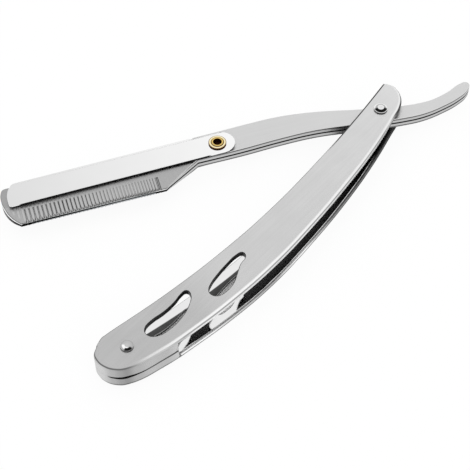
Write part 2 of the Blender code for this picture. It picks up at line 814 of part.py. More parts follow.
def cover_loop():
    """The cover seen from the front, in its own frame: a round tongue, a round toe end."""
    tongue_mid = COVER_OPEN_SIDE - COVER_TONGUE_END
    tongue = quarter_arc(tongue_mid, 0, COVER_OPEN_SIDE, math.pi / 2, TONGUE_STEPS // 2)
    tongue += quarter_arc(tongue_mid, 0, COVER_OPEN_SIDE, math.pi, TONGUE_STEPS // 2)[1:]
    fold = cover_fold_line()
    fold_clear = fold - CUT_OVERRUN
    notch = [(COVER_TONGUE_LENGTH, -COVER_OPEN_SIDE), (COVER_TONGUE_LENGTH, fold_clear)]
    length, width = COVER_TOE_ROUND_LENGTH, COVER_TOE_ROUND_WIDTH
    toe_x = COVER_REACH - length
    toe = quarter_oval(toe_x, fold + width, length, width, -math.pi / 2, TOE_ROUND_STEPS)
    radius = COVER_OPEN_CORNER_RADIUS
    open_corner = quarter_arc(COVER_REACH - radius, COVER_OPEN_SIDE - radius, radius, 0, OPEN_CORNER_STEPS)
    return corners(tongue + notch + [(toe_x, fold_clear)] + toe[1:] + open_corner)


def build_cover(cover_axis, steel):
    drawing = bpy.data.objects.new("cover_skin", cover_skin_curve())
    CUTTERS.objects.link(drawing)
    skin = evaluated_mesh(drawing)
    bpy.data.objects.remove(drawing, do_unlink=True)
    skin.transform(Matrix.Rotation(math.pi / 2, 4, "Z") @ Matrix.Rotation(math.pi / 2, 4, "X"))
    cover = finish_piece(link_solid("swing_cover", skin, RAZOR, cover_axis), steel)
    cover.location = (0, 0, MID_PLANE)
    wall = cover.modifiers.new("sheet", "SOLIDIFY")
    wall.thickness = COVER_SHEET
    wall.offset = -1
    wall.use_even_offset = True
    top = COVER_OUTSIDE + CUT_OVERRUN
    plan = flat_mesh("cover_plan", cover_loop(), MID_PLANE - top, MID_PLANE + top, STRAIGHT_STEPS)
    trim = cover.modifiers.new("plan", "BOOLEAN")
    trim.operation = "INTERSECT"
    trim.solver = "EXACT"
    trim.object = as_cutter(link_solid("cover_plan", plan, CUTTERS, cover_axis))
    low = (-COVER_TONGUE_END - CUT_OVERRUN, COVER_REAR_OPEN_SIDE, MID_PLANE - top)
    high = (COVER_REACH + CUT_OVERRUN, COVER_OPEN_SIDE + CUT_OVERRUN, MID_PLANE)
    subtract(cover, box_mesh("rear_wall_trim", low, high), cover_axis)
    hole = rod_mesh("cover_hole", 0, 0, MID_PLANE - top, MID_PLANE + top, EYELET_BARREL_RADIUS + FIT_GAP)
    subtract(cover, hole, cover_axis)


def build_eyelet(arm_axis, brass):
    """A tube with both ends rolled over into round flanges."""
    foot = COVER_OUTSIDE + FIT_GAP
    crown = foot + EYELET_FLANGE_SHEET
    upper = [
        (EYELET_BORE_RADIUS, foot),
        (EYELET_BORE_RADIUS + EYELET_LIP, crown - EYELET_LIP),
        (EYELET_BARREL_RADIUS + EYELET_LIP, crown),
        (EYELET_FLANGE_RADIUS - EYELET_LIP, crown - EYELET_LIP),
        (EYELET_FLANGE_RADIUS, foot),
        (EYELET_BARREL_RADIUS, foot),
    ]
    lower = [(radius, -height) for radius, height in reversed(upper)]
    turned_solid("eyelet", upper + lower, EYELET_ALONG, EYELET_ACROSS, arm_axis, brass, closed_ring=True)


def build_razor():
    brushed_steel = make_material("brushed_steel", (0.62, 0.62, 0.62), 0.35, 1.0)
    rivet_steel = make_material("rivet_steel", (0.72, 0.72, 0.72), 0.15, 1.0)
    leaf_steel = make_material("leaf_steel", (0.58, 0.58, 0.58), 0.40, 1.0)
    blade_steel = make_material("blade_steel", (0.50, 0.52, 0.55), 0.20, 1.0)
    mirror_steel = make_material("mirror_steel", (0.85, 0.85, 0.86), 0.05, 1.0)
    brass = make_material("brass", (0.83, 0.62, 0.25), 0.20, 1.0)
    arm_axis = make_axis("arm_axis", (0, 0, 0), ARM_REST_ANGLE)
    cover_axis = make_axis("cover_axis", (EYELET_ALONG, EYELET_ACROSS, 0), COVER_TILT, arm_axis)
    build_handle(brushed_steel)
    build_handle_fasteners(rivet_steel)
    build_leaves(arm_axis, leaf_steel)
    build_blade(arm_axis, blade_steel)
    build_blade_pins(arm_axis, rivet_steel)
    build_cover(cover_axis, mirror_steel)
    build_eyelet(arm_axis, brass)


build_razor()
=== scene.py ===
"""Looks of a folding razor: bowed steel handle, two-leaf arm, mirror-polished cover, brass eyelet.

The frame gives the shapes. Sheet pieces are copied with softened edges and a finish for each kind
of face, the head's ribs are soft bars set on the leaves, and round pieces are turned more finely.
Lengths are in metres. The arm's own frame has x towards its toe and y towards its cutting edge.
A tone is the grey that a metal shows, and many tones here are painted light and shade. A band is the pair
of places between which it changes.
"""
import math

import bmesh
import bpy
from mathutils import Matrix, Vector
from mathutils.bvhtree import BVHTree


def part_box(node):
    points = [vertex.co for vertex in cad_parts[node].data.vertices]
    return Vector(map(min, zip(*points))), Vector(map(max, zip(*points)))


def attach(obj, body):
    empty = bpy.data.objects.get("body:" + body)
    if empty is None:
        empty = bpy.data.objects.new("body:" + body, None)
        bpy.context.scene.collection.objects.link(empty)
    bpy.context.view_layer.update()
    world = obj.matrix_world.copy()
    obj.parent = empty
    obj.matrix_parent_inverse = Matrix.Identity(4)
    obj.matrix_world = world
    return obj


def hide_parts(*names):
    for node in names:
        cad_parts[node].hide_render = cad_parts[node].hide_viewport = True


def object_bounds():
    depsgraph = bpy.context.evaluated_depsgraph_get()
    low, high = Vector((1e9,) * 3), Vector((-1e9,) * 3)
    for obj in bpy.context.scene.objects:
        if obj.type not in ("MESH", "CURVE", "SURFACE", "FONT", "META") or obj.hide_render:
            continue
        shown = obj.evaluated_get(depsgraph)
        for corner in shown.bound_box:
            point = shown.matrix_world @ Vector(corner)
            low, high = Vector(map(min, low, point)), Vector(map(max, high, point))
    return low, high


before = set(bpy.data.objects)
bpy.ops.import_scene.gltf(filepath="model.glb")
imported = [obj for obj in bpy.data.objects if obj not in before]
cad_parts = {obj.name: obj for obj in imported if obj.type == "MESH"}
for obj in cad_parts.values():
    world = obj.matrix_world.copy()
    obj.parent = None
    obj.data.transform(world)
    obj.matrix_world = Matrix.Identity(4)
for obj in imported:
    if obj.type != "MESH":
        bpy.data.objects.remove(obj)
cad_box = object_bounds()

MILLIMETRE = 0.001
QUARTER_TURN = math.radians(90)

# Camera: the photograph's angle and frame
CAMERA_AIM = Vector((0.061298, -0.007503, 0))
CAMERA_REACH = 0.21924
CAMERA_HEIGHT = 0.28061
CAMERA_TILT = math.radians(38)
CAMERA_AZIMUTH = math.radians(40.302)
CAMERA_LENS = 91.915

# Light: strengths at which a colour renders about as it is written
WHITE = (1, 1, 1, 1)
WHITE_LEVEL = 1.0
ROOM_LEVEL = 1.0
LAMP_PLACE = Vector((-0.10, 0.0, 0.90))
LAMP_SIZE = 0.8
LAMP_POWER = 1.0

# Floor: its white glow stops under the handle, within the plates' edges and between the rivets
FLOOR_COLOUR = (0.93, 0.93, 0.93, 1)
FLOOR_GLOW = 0.92
FLOOR_DROP = 0.2 * MILLIMETRE
FLOOR_SIZE = 3.0
GLOW_FRONT_BAND = (0.4 * MILLIMETRE, 1.6 * MILLIMETRE)
GLOW_BACK_BAND = (1.4 * MILLIMETRE, 2.4 * MILLIMETRE)
GLOW_PIVOT_BAND = (-8 * MILLIMETRE, -4 * MILLIMETRE)
GLOW_END_BAND = (1 * MILLIMETRE, 4 * MILLIMETRE)

# Merging and softening of copied shapes
MERGE_DISTANCE = 0.005 * MILLIMETRE
FLAT_ANGLE = math.radians(0.3)
SMOOTH_ANGLE = math.radians(32)
BEVEL_ANGLE = math.radians(40)
BEVEL_SEGMENTS = 2
SLIVER_WIDTH = 0.01 * MILLIMETRE
SLIVER_ROUNDS = 3
WIDEST_BEVEL = 0.45 * MILLIMETRE
PLATE_BEVEL = 0.20 * MILLIMETRE
RIM_END_ROUND = 0.44 * MILLIMETRE
LEAF_BEVEL = 0.14 * MILLIMETRE
COVER_BEVEL = 0.08 * MILLIMETRE
COVER_SIDE_BEVEL = 0.20 * MILLIMETRE
RAY_START = 0.01 * MILLIMETRE
UPRIGHT_SHARE = 0.5

# Handle plates: a face with more metal behind it than their wall is a cut edge
PLATE_WALL = 1.25 * MILLIMETRE
PLATE_FACE_HALF = 4.6 * MILLIMETRE
PLATE_BOW = 0.9 * MILLIMETRE
BOW_RISE_SHARE = 0.35
BOW_FALL_SHARE = 0.57
PLATE_OVERRUN_SHARE = 0.1
RIM_END_DEPTH = 1.3 * MILLIMETRE
HANDLE_HOLLOW = 13.0 * MILLIMETRE
FAR_CORNER = Vector((119.6, -6.2, 0)) * MILLIMETRE
FAR_CORNER_REACH = 1.6 * MILLIMETRE

# Collars under the front plate's cut-outs
CUTOUT_REACH = 4 * MILLIMETRE
COLLAR_SHEET = 0.25 * MILLIMETRE
COLLAR_DEPTH = 0.65 * MILLIMETRE
COLLAR_HOLD = 0.05 * MILLIMETRE

# Head and cover, whose wall tells its cut edges in the same way
EDGE_LENGTH = 44.2 * MILLIMETRE
EDGE_LINE = 7.3 * MILLIMETRE
WEDGE_START = 1.0 * MILLIMETRE
EDGE_HALF_THICKNESS = 0.7 * MILLIMETRE
FLANK_TILT = math.radians(4)
COVER_WALL = 0.9 * MILLIMETRE
COVER_SIDE_RUN_SHARE = 0.98

# Ribs of the head
RIB_COUNT = 40
RIB_PITCH_AT_TOE = 1.34 * MILLIMETRE
RIB_PITCH_AT_HEEL = 0.84 * MILLIMETRE
FIRST_RIB_FROM_TOE = -1.3 * MILLIMETRE
RIB_LENGTH = 5.3 * MILLIMETRE
RIB_WIDTH_SHARE = 0.92
RIB_RISE_SHARE = 0.15
RIB_SINK = 0.05 * MILLIMETRE
RIB_END_POWER = 0.4
RIB_RING_STEPS = 8
TOE_CURVE_SLOPE = 1.15

# Round pieces
TURNED_STEPS = 72
SECTION_SLACK = 0.02 * MILLIMETRE
HEAD_FOOT_GAP = 0.3 * MILLIMETRE
PIVOT_ROD = 1.3 * MILLIMETRE
END_ROD = 1.1 * MILLIMETRE
EYELET_BARREL = 1.6 * MILLIMETRE
EYELET_FLANGE = 0.4 * MILLIMETRE
EYELET_REAR_SHARE = 0.5

# Grain: length and width of its streaks, and sizes of softer marks
FINE_GRAIN = (14 * MILLIMETRE, 0.16 * MILLIMETRE)
WIDE_GRAIN = (42 * MILLIMETRE, 0.9 * MILLIMETRE)
GRAIN_DETAIL = 3.0
GRAIN_FALL = 0.6
GRAIN_DEPTH = 0.004 * MILLIMETRE
GRAIN_STRENGTH = 0.25
GRAIN_ROUGHNESS = 0.12
SMUDGE_SIZE = Vector((9, 9, 9)) * MILLIMETRE
SMUDGE_CONTRAST = 0.03
SMUDGE_ROUGHNESS = 0.08
LEAST_BRUSHED_ROUGHNESS = 0.08
WIPE_SIZE = Vector((5, 5, 5)) * MILLIMETRE
WIPE_DETAIL = 4.0
WIPE_CONTRAST = 0.03
WIPE_ROUGHNESS = 0.06
LEAST_POLISHED_ROUGHNESS = 0.02
POLISHED_RUN = 100 * MILLIMETRE
SHEAR_MARK_SIZE = Vector((0.12, 0.12, 3)) * MILLIMETRE
SHEAR_CONTRAST = 0.1
SOFT_DETAIL = 2.0

# Tones of the handle plates along the handle, as (share of the way, grey); they are painted light and shade
# Face: lighter near the pivot and darker towards the far end, a painted shading for reflections that change
# along the bowed plate
FACE_STOPS = [(0.0, 0.70), (0.18, 0.66), (0.42, 0.62), (0.66, 0.60), (0.80, 0.51), (1.0, 0.50)]
# Bend: a painted highlight along the plates' bend
BEND_HIGHLIGHT_STOPS = [(0.0, 0.85), (0.76, 0.95), (0.84, 0.90), (0.90, 0.75), (0.94, 0.50), (1.0, 0.50)]
# Line: a painted shade line under the bend
LINE_STOPS = [
    (0.0, 0.05), (0.06, 0.06), (0.10, 0.60), (0.14, 0.34), (0.22, 0.38), (0.82, 0.40), (0.87, 0.60),
    (0.92, 0.52), (0.955, 0.16), (1.0, 0.16),
]
# Rear line: the rear plate's painted shade line along its lower bend
REAR_LINE_STOPS = [
    (0.0, 0.02), (0.05, 0.02), (0.20, 0.02), (0.36, 0.30), (0.80, 0.38), (0.84, 0.26), (0.91, 0.26),
    (0.934, 0.17), (0.958, 0.21), (0.973, 0.30), (0.986, 0.50), (1.0, 0.45),
]
# Wall: the upright rim's painted reflection of the bright room, with painted shade towards both ends
WALL_STOPS = [
    (0.0, 0.05), (0.03, 0.06), (0.072, 0.42), (0.106, 0.66), (0.177, 0.90), (0.75, 0.92), (0.79, 0.60),
    (0.837, 0.48), (0.876, 0.51), (0.91, 0.44), (0.934, 0.30), (0.948, 0.35), (0.965, 0.44), (0.986, 0.60),
    (1.0, 0.33),
]
# Seam: painted shade on the softened edges beside the seam between the plates
SEAM_STOPS = [(0.0, 0.12), (0.885, 0.12), (0.90, 0.01), (0.970, 0.01), (0.978, 0.60), (1.0, 0.60)]
# Round: the softened edges' tones along the handle, painted highlights and painted shade
ROUND_STOPS = [
    (0.0, 0.05), (0.156, 0.10), (0.214, 0.15), (0.352, 0.25), (0.418, 0.50), (0.476, 0.95), (0.534, 0.75),
    (0.578, 0.45), (0.687, 0.60), (0.774, 0.95), (1.0, 0.95),
]
WALL_SKEW = 0.6
PLATE_FINE_CONTRAST = 0.11
PLATE_WIDE_CONTRAST = 0.07
PLATE_SMUDGE_CONTRAST = 0.05
PLATE_ROUGHNESS = 0.34
WALL_POLISH = 0.14

# Bands on the handle plates, counted down from the bowed face
BEND_BAND = (0.06 * MILLIMETRE, 0.16 * MILLIMETRE)
LINE_BAND = (0.42 * MILLIMETRE, 0.50 * MILLIMETRE)
WALL_BAND = (0.78 * MILLIMETRE, 0.90 * MILLIMETRE)
OUTER_ROUND_BAND = (0.50 * MILLIMETRE, 0.60 * MILLIMETRE)
INNER_ROUND_BAND = (1.10 * MILLIMETRE, 1.15 * MILLIMETRE)
REAR_LINE_EXTRA = 0.75 * MILLIMETRE
# Painted shade: dark outlines on the plates' softened edges, darkest outside and grey inside
OUTER_ROUND_TONE = 0.04
INNER_ROUND_TONE = 0.35
LINE_ROUGHNESS = 0.3

# Bands on the handle plates, counted from their mid-plane
REAR_BAND = (0.0, 0.1 * MILLIMETRE)
SEAM_BAND = (0.8 * MILLIMETRE, 1.0 * MILLIMETRE)

# Painted shade: a dark line inside the free edge, which near the pivot is a shallow curve: start, slope,
# bend
NEAR_EDGE_CURVE = (-4.62 * MILLIMETRE, 0.1275, -0.6)
EDGE_SHADE_BAND = (0.42 * MILLIMETRE, 0.52 * MILLIMETRE)
EDGE_SHADE_END_BAND = (19 * MILLIMETRE, 25 * MILLIMETRE)
EDGE_SHADE_TONE = 0.06

# Inside of the rear plate: painted reflection in bright strips along its edges, each a shallow curve round
# its crest, and painted shade between them and near the pivot
FRONT_CREST = Vector((58.0, -0.3, 0)) * MILLIMETRE
FRONT_CURVE = 2.3
FRONT_STRIP = 2.6 * MILLIMETRE
BACK_CREST = Vector((62.0, 13.2, 0)) * MILLIMETRE
BACK_CURVE = 2.4
BACK_STRIP = 4.0 * MILLIMETRE
STRIP_FADE = 0.12 * MILLIMETRE
NEAR_PIVOT_BAND = (10 * MILLIMETRE, 16 * MILLIMETRE)
REFLECTION_STRIP_TONE = 0.82
SHADE_TONE_FALL = 0.74
NEAR_PIVOT_SHADE_FALL = 0.07
INSIDE_MARK_SIZE = Vector((1.5, 1.5, 1.5)) * MILLIMETRE
INSIDE_MARK_CONTRAST = 0.06
STRIP_ROUGHNESS = 0.07
DULL_ROUGHNESS = 0.25

# Leaves: tones along the arm with painted shading that darkens towards the toe, and bands counted from the
# mid-plane
LEAF_STOPS = [(0.0, 0.66), (0.25, 0.66), (0.45, 0.64), (0.7, 0.62), (0.92, 0.56), (0.96, 0.42), (1.0, 0.38)]
LEAF_OVERRUN_SHARE = 0.25
LEAF_RUN_SHARE = 1.5
LEAF_CONTRAST = 0.05
LEAF_ROUGHNESS = 0.38
LEAF_SEAM_BAND = (0.28 * MILLIMETRE, 0.36 * MILLIMETRE)
LEAF_RIM_BAND = (1.10 * MILLIMETRE, 1.30 * MILLIMETRE)
LEAF_FRONT_BAND = (0.02 * MILLIMETRE, 0.08 * MILLIMETRE)
# Painted shade: near black on the leaves' edges beside their seam, and on the head at the rear
LEAF_SEAM_TONE = 0.02
HEAD_REAR_TONE = 0.01
HEAD_FADE = 1 * MILLIMETRE

# Ribs' tones: the flanks below them, and the bars' painted highlights on their backs and painted shade in
# their grooves
FLANK_STOPS = [(0.0, 0.44), (1.0, 0.38)]
FLANK_CONTRAST = 0.06
FLANK_ROUGHNESS = 0.42
RIB_BACK_TONE = 0.52
RIB_GROOVE_FALL = 1.1
RIB_END_TONE = 0.40
RIB_TOP_BAND = (1.0 * MILLIMETRE, 3.2 * MILLIMETRE)
RIB_TOP_FADE = 0.7
RIB_END_BAND = (0.42, 0.49)
RIB_CONTRAST = 0.08
RIB_ROUGHNESS = 0.4

# Cover: tones from its heel to its toe, a painted shading that darkens towards the toe, and a painted shade
# line below its fold
COVER_HEEL_REACH = 5 * MILLIMETRE
COVER_RUN = 68 * MILLIMETRE
COVER_TONE = 0.93
COVER_TONE_FALL = 0.19
COVER_ROUGHNESS = 0.06
FOLD_START_BAND = (0.16 * MILLIMETRE, 0.26 * MILLIMETRE)
FOLD_END_BAND = (0.60 * MILLIMETRE, 0.80 * MILLIMETRE)
FOLD_TONE = 0.30
# Its softened edges: a painted highlight round its ends and black painted shade along its open side
COVER_LINE_HEEL_GAP = 3.0 * MILLIMETRE
COVER_LINE_TOE_GAP = 3.6 * MILLIMETRE
COVER_LINE_FADE = 1 * MILLIMETRE
COVER_END_TONE = 0.95
COVER_SIDE_FALL = 0.94
COVER_LINE_ROUGHNESS = 0.2

# Rivet heads, in painted light and shade: rings as (share of the radius, grey), crescents as turn, grey,
# band of the side, rings
HEAD_ROUGHNESS = 0.2
CRESCENT_FADE = 0.04
PIVOT_RINGS = [(0.0, 0.74), (0.46, 0.82), (0.52, 0.40), (0.74, 0.50), (0.84, 0.88), (1.0, 0.88)]
PIVOT_CRESCENTS = [(math.radians(42), 0.01, (-0.10, 0.25), (0.50, 0.94))]
END_RINGS = [(0.0, 0.56), (0.60, 0.50), (0.82, 0.46), (0.90, 0.38), (1.0, 0.46)]
END_CRESCENTS = [
    (math.radians(0), 0.97, (0.40, 0.62), (0.34, 0.74)),
    (math.radians(58), 0.01, (0.62, 0.80), (0.52, 0.96)),
]

# Tints
STEEL_TINT = (1.0, 1.0, 1.0)
BLADE_TINT = (0.93, 0.97, 1.0)
BRASS_TINT = (1.0, 0.70, 0.22)
# Eyelet: a pale tint for the painted reflection on its flange, a dark one for the painted shade on its
# shoulder, and a dark one for its bore and outer rim
FLANGE_TINT = (1.0, 0.88, 0.55)
SHOULDER_TINT = (1.0, 0.55, 0.2)
BORE_TINT = (1.0, 0.42, 0.16)

# Kinds of faces, in the order of the finishes of a plate, a rivet and the eyelet
FLAT, HOLLOW, CUT, RIM_END = range(4)
ROD, SHOULDER, PIVOT_CROWN, END_CROWN = range(4)
ROLL, SHADE, DARK, FLANGE = range(4)

# Half sections from the axis outwards: shares of radius and height, and the kind of the ring so begun
PIVOT_SECTION_SHARES = [
    (0.0, 1.0, PIVOT_CROWN), (0.48, 1.0, PIVOT_CROWN), (0.56, 0.90, PIVOT_CROWN), (0.76, 0.46, PIVOT_CROWN),
    (0.94, 0.36, PIVOT_CROWN), (1.0, 0.18, SHOULDER),
]
END_SECTION_SHARES = [
    (0.0, 1.0, END_CROWN), (0.36, 0.93, END_CROWN), (0.60, 0.72, END_CROWN), (0.80, 0.44, END_CROWN),
    (0.94, 0.24, END_CROWN), (1.0, 0.12, SHOULDER),
]
# The eyelet's SHADE ring and outer DARK rings are painted shade, its FLANGE ring a painted reflection, and
# its bore is dark
EYELET_SECTION_SHARES = [
    (0.47, 0.30, DARK), (0.50, 0.86, ROLL), (0.57, 1.0, ROLL), (0.65, 0.92, SHADE), (0.75, 0.50, FLANGE),
    (0.93, 0.46, DARK), (1.0, 0.25, DARK),
]


def box_middle(node):
    low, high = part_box(node)
    return (Vector(low) + Vector(high)) / 2


def band(middle, fade):
    return middle - fade, middle + fade


# Places taken from the frame
PIVOT = box_middle("pivot_rivet")
END_PIN = box_middle("end_rivet")
MID_PLANE = PIVOT.z
HANDLE_LENGTH = END_PIN.x - PIVOT.x
PLATE_START = -PLATE_OVERRUN_SHARE * HANDLE_LENGTH
PLATE_RUN = HANDLE_LENGTH - 2 * PLATE_START
BOW_RISE_END = BOW_RISE_SHARE * HANDLE_LENGTH
BOW_FALL_START = BOW_FALL_SHARE * HANDLE_LENGTH
TOE_PIN = box_middle("blade_pin_toe")
HEEL_PIN = box_middle("blade_pin_heel")
EYELET = box_middle("eyelet")
ARM_TURN = math.atan2(TOE_PIN.y - HEEL_PIN.y, TOE_PIN.x - HEEL_PIN.x)
TO_ARM = Matrix.Rotation(-ARM_TURN, 4, "Z")
FROM_ARM = Matrix.Rotation(ARM_TURN, 4, "Z")
EDGE_MIDDLE = (TO_ARM @ ((TOE_PIN + HEEL_PIN) / 2)).x
HEEL_CORNER = EDGE_MIDDLE - EDGE_LENGTH / 2
TOE_CORNER = EDGE_MIDDLE + EDGE_LENGTH / 2
LEAF_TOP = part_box("arm_front_leaf")[1][2]
LEAF_HALF_HEIGHT = LEAF_TOP - MID_PLANE
COVER_HALF_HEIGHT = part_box("swing_cover")[1][2] - MID_PLANE
COVER_TOE = max((TO_ARM @ vertex.co).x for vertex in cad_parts["swing_cover"].data.vertices)


# Nodes of finishes and of the ribs


class Value:
    """What a node gives, so that nodes read as sums and products."""

    def __init__(self, nodes, socket):
        self.nodes = nodes
        self.socket = socket

    def math(self, operation, first, second=0.0):
        return self.nodes.node("ShaderNodeMath", {"operation": operation}, {0: first, 1: second})

    def __add__(self, other):
        return self.math("ADD", self, other)

    def __radd__(self, other):
        return self.math("ADD", other, self)

    def __sub__(self, other):
        return self.math("SUBTRACT", self, other)

    def __rsub__(self, other):
        return self.math("SUBTRACT", other, self)

    def __mul__(self, other):
        return self.math("MULTIPLY", self, other)

    def __rmul__(self, other):
        return self.math("MULTIPLY", other, self)

    def __truediv__(self, other):
        return self.math("DIVIDE", self, other)

    def __rtruediv__(self, other):
        return self.math("DIVIDE", other, self)

    def __pow__(self, other):
        return self.math("POWER", self, other)

    def at_least(self, other):
        return self.math("MAXIMUM", self, other)

    def at_most(self, other):
        return self.math("MINIMUM", self, other)

    def size(self):
        return self.math("ABSOLUTE", self)

    def sign(self):
        return self.math("SIGN", self)

    def cosine(self):
        return self.math("COSINE", self)

    def sine(self):
        return self.math("SINE", self)

    def step(self, low, high, kind="LINEAR"):
        """0 up to the low value, 1 from the high one on, with a rise between them."""
        inputs = {"Value": self, "From Min": low, "From Max": high}
        return self.nodes.node("ShaderNodeMapRange", {"interpolation_type": kind}, inputs)

    def between(self, rise, fall):
        """1 from the end of one band to the start of another, and 0 outside both."""
        return self.step(*rise) * (1.0 - self.step(*fall))

    def toward(self, other, share):
        return self + (other - self) * share


class Nodes:
    """The nodes of one tree, made one at a time."""

    def __init__(self, tree):
        self.tree = tree

    def node(self, kind, settings=None, inputs=None, output=0):
        made = self.tree.nodes.new(kind)
        for name, value in (settings or {}).items():
            if name == "stops":
                set_stops(made.color_ramp, value)
            else:
                setattr(made, name, value)
        for key, value in (inputs or {}).items():
            self.feed(made.inputs[key], value)
        return Value(self, made.outputs[output])

    def feed(self, socket, value):
        if isinstance(value, Value):
            self.tree.links.new(value.socket, socket)
        else:
            socket.default_value = value

    def parts(self, vector):
        return [self.node("ShaderNodeSeparateXYZ", None, {"Vector": vector}, axis) for axis in "XYZ"]


class Finish(Nodes):
    """The nodes of one material or of the room."""

    def __init__(self, owner):
        owner.use_nodes = True
        super().__init__(owner.node_tree)
        self.owner = owner
        self.shader = self.tree.nodes.get("Principled BSDF")

    def surface(self, inputs):
        for name, value in inputs.items():
            self.feed(self.shader.inputs[name], value)
        return self.owner


def set_stops(ramp, stops):
    """Stops as (place, grey) pairs; the ramp starts with two."""
    ramp.interpolation = "EASE"
    for place, _ in stops[2:]:
        ramp.elements.new(place)
    for element, (place, grey) in zip(ramp.elements, stops):
        element.position = place
        element.color = (grey, grey, grey, 1)


def new_finish(name):
    return Finish(bpy.data.materials.new(name))


def measured(finish, turn, sizes, start=(0, 0, 0)):
    """Object coordinates from a start point, turned about Z and counted in the given sizes."""
    here = finish.node("ShaderNodeTexCoord", output="Object")
    inputs = {"Vector": here, "Location": start, "Rotation": (0, 0, turn), "Scale": sizes}
    return finish.node("ShaderNodeMapping", {"vector_type": "TEXTURE"}, inputs)


def place_on(finish, turn=0.0, start=(0, 0, 0)):
    """Coordinates along, across and up, from a start point and turned about Z."""
    return finish.parts(measured(finish, turn, (1, 1, 1), start))


def grain(finish, turn, length, width):
    """Streaks that run one way over a brushed face, from -0.5 to 0.5."""
    place = measured(finish, turn, (length, width, width))
    noise = {"Vector": place, "Scale": 1.0, "Detail": GRAIN_DETAIL, "Roughness": GRAIN_FALL}
    return finish.node("ShaderNodeTexNoise", None, noise) - 0.5


def marks(finish, sizes, detail=SOFT_DETAIL):
    """Soft patches of the given sizes, from -0.5 to 0.5."""
    place = measured(finish, 0, sizes)
    return finish.node("ShaderNodeTexNoise", None, {"Vector": place, "Scale": 1.0, "Detail": detail}) - 0.5


def brushing(finish, turn):
    """Fine streaks, wide streaks and smudges of a brushed face."""
    smudges = marks(finish, SMUDGE_SIZE)
    return grain(finish, turn, *FINE_GRAIN), grain(finish, turn, *WIDE_GRAIN), smudges


def wiping(finish):
    """Faint wiping marks of a polished face."""
    return marks(finish, WIPE_SIZE, WIPE_DETAIL)


def wiped_roughness(roughness, wiped):
    return (roughness + wiped * WIPE_ROUGHNESS).at_least(LEAST_POLISHED_ROUGHNESS)


def tone_ramp(finish, share, stops):
    return finish.node("ShaderNodeValToRGB", {"stops": stops}, {"Fac": share})


def tinted(finish, tone, tint):
    """A tint made lighter or darker by a tone."""
    settings = {"data_type": "RGBA", "blend_type": "MULTIPLY"}
    grey = finish.node("ShaderNodeCombineColor", None, {"Red": tone, "Green": tone, "Blue": tone})
    return finish.node("ShaderNodeMix", settings, {0: 1.0, 6: grey, 7: (*tint, 1)}, 2)


def grain_normal(finish, height):
    inputs = {"Height": height, "Distance": GRAIN_DEPTH, "Strength": GRAIN_STRENGTH}
    return finish.node("ShaderNodeBump", None, inputs, "Normal")


def metal(finish, tone, roughness, tint=STEEL_TINT):
    """Bare metal, which renders at its base colour."""
    colour = tinted(finish, tone, tint)
    return finish.surface({"Base Color": colour, "Metallic": 1.0, "Roughness": roughness})


# Finishes


def brushed(name, turn, start, length, stops, contrast, roughness):
    """Brushed steel whose tone follows the given stops along the piece."""
    finish = new_finish(name)
    fine, wide, smudge = brushing(finish, turn)
    tone = tone_ramp(finish, place_on(finish, turn, start)[0] / length, stops)
    tone = tone + (fine * contrast + wide * contrast) + smudge * SMUDGE_CONTRAST
    rough = roughness + fine * GRAIN_ROUGHNESS + smudge * SMUDGE_ROUGHNESS
    finish.surface({"Normal": grain_normal(finish, fine)})
    return metal(finish, tone, rough.at_least(LEAST_BRUSHED_ROUGHNESS))


def polished(name, tint, near, far, roughness):
    """Polished metal with faint wiping marks, its tone changing evenly along the handle."""
    finish = new_finish(name)
    wiped = wiping(finish)
    share = (place_on(finish)[0] / POLISHED_RUN).at_least(0.0).at_most(1.0)
    tone = near + share * (far - near) + wiped * WIPE_CONTRAST
    return metal(finish, tone, wiped_roughness(roughness, wiped), tint)


def painted_dark_face(name, tone, roughness):
    """A sheet face painted dark for the shade it lies in, with fine marks across the sheet left by
    shearing.
    """
    finish = new_finish(name)
    shorn = marks(finish, SHEAR_MARK_SIZE)
    return metal(finish, tone + shorn * SHEAR_CONTRAST * tone, roughness + shorn * SHEAR_CONTRAST)


def place_on_plate(finish):
    """Coordinates along, across and up, the share along the handle and the depth below the bowed face."""
    along, across, up = place_on(finish)
    share = (along - PLATE_START) / PLATE_RUN
    rise = along.step(0.0, BOW_RISE_END, "SMOOTHSTEP")
    fall = along.step(BOW_FALL_START, HANDLE_LENGTH, "SMOOTHSTEP")
    depth = PLATE_FACE_HALF + rise * (1.0 - fall) * PLATE_BOW - (up - MID_PLANE).size()
    return along, across, up, share, depth


def edge_shade_share(along, across):
    """1 on the painted shade line along the plates' free edge near the pivot."""
    start, slope, bend = NEAR_EDGE_CURVE
    inside = across - start - along * slope - along * along * bend
    return (1.0 - inside.step(*EDGE_SHADE_BAND)) * (1.0 - along.step(*EDGE_SHADE_END_BAND))


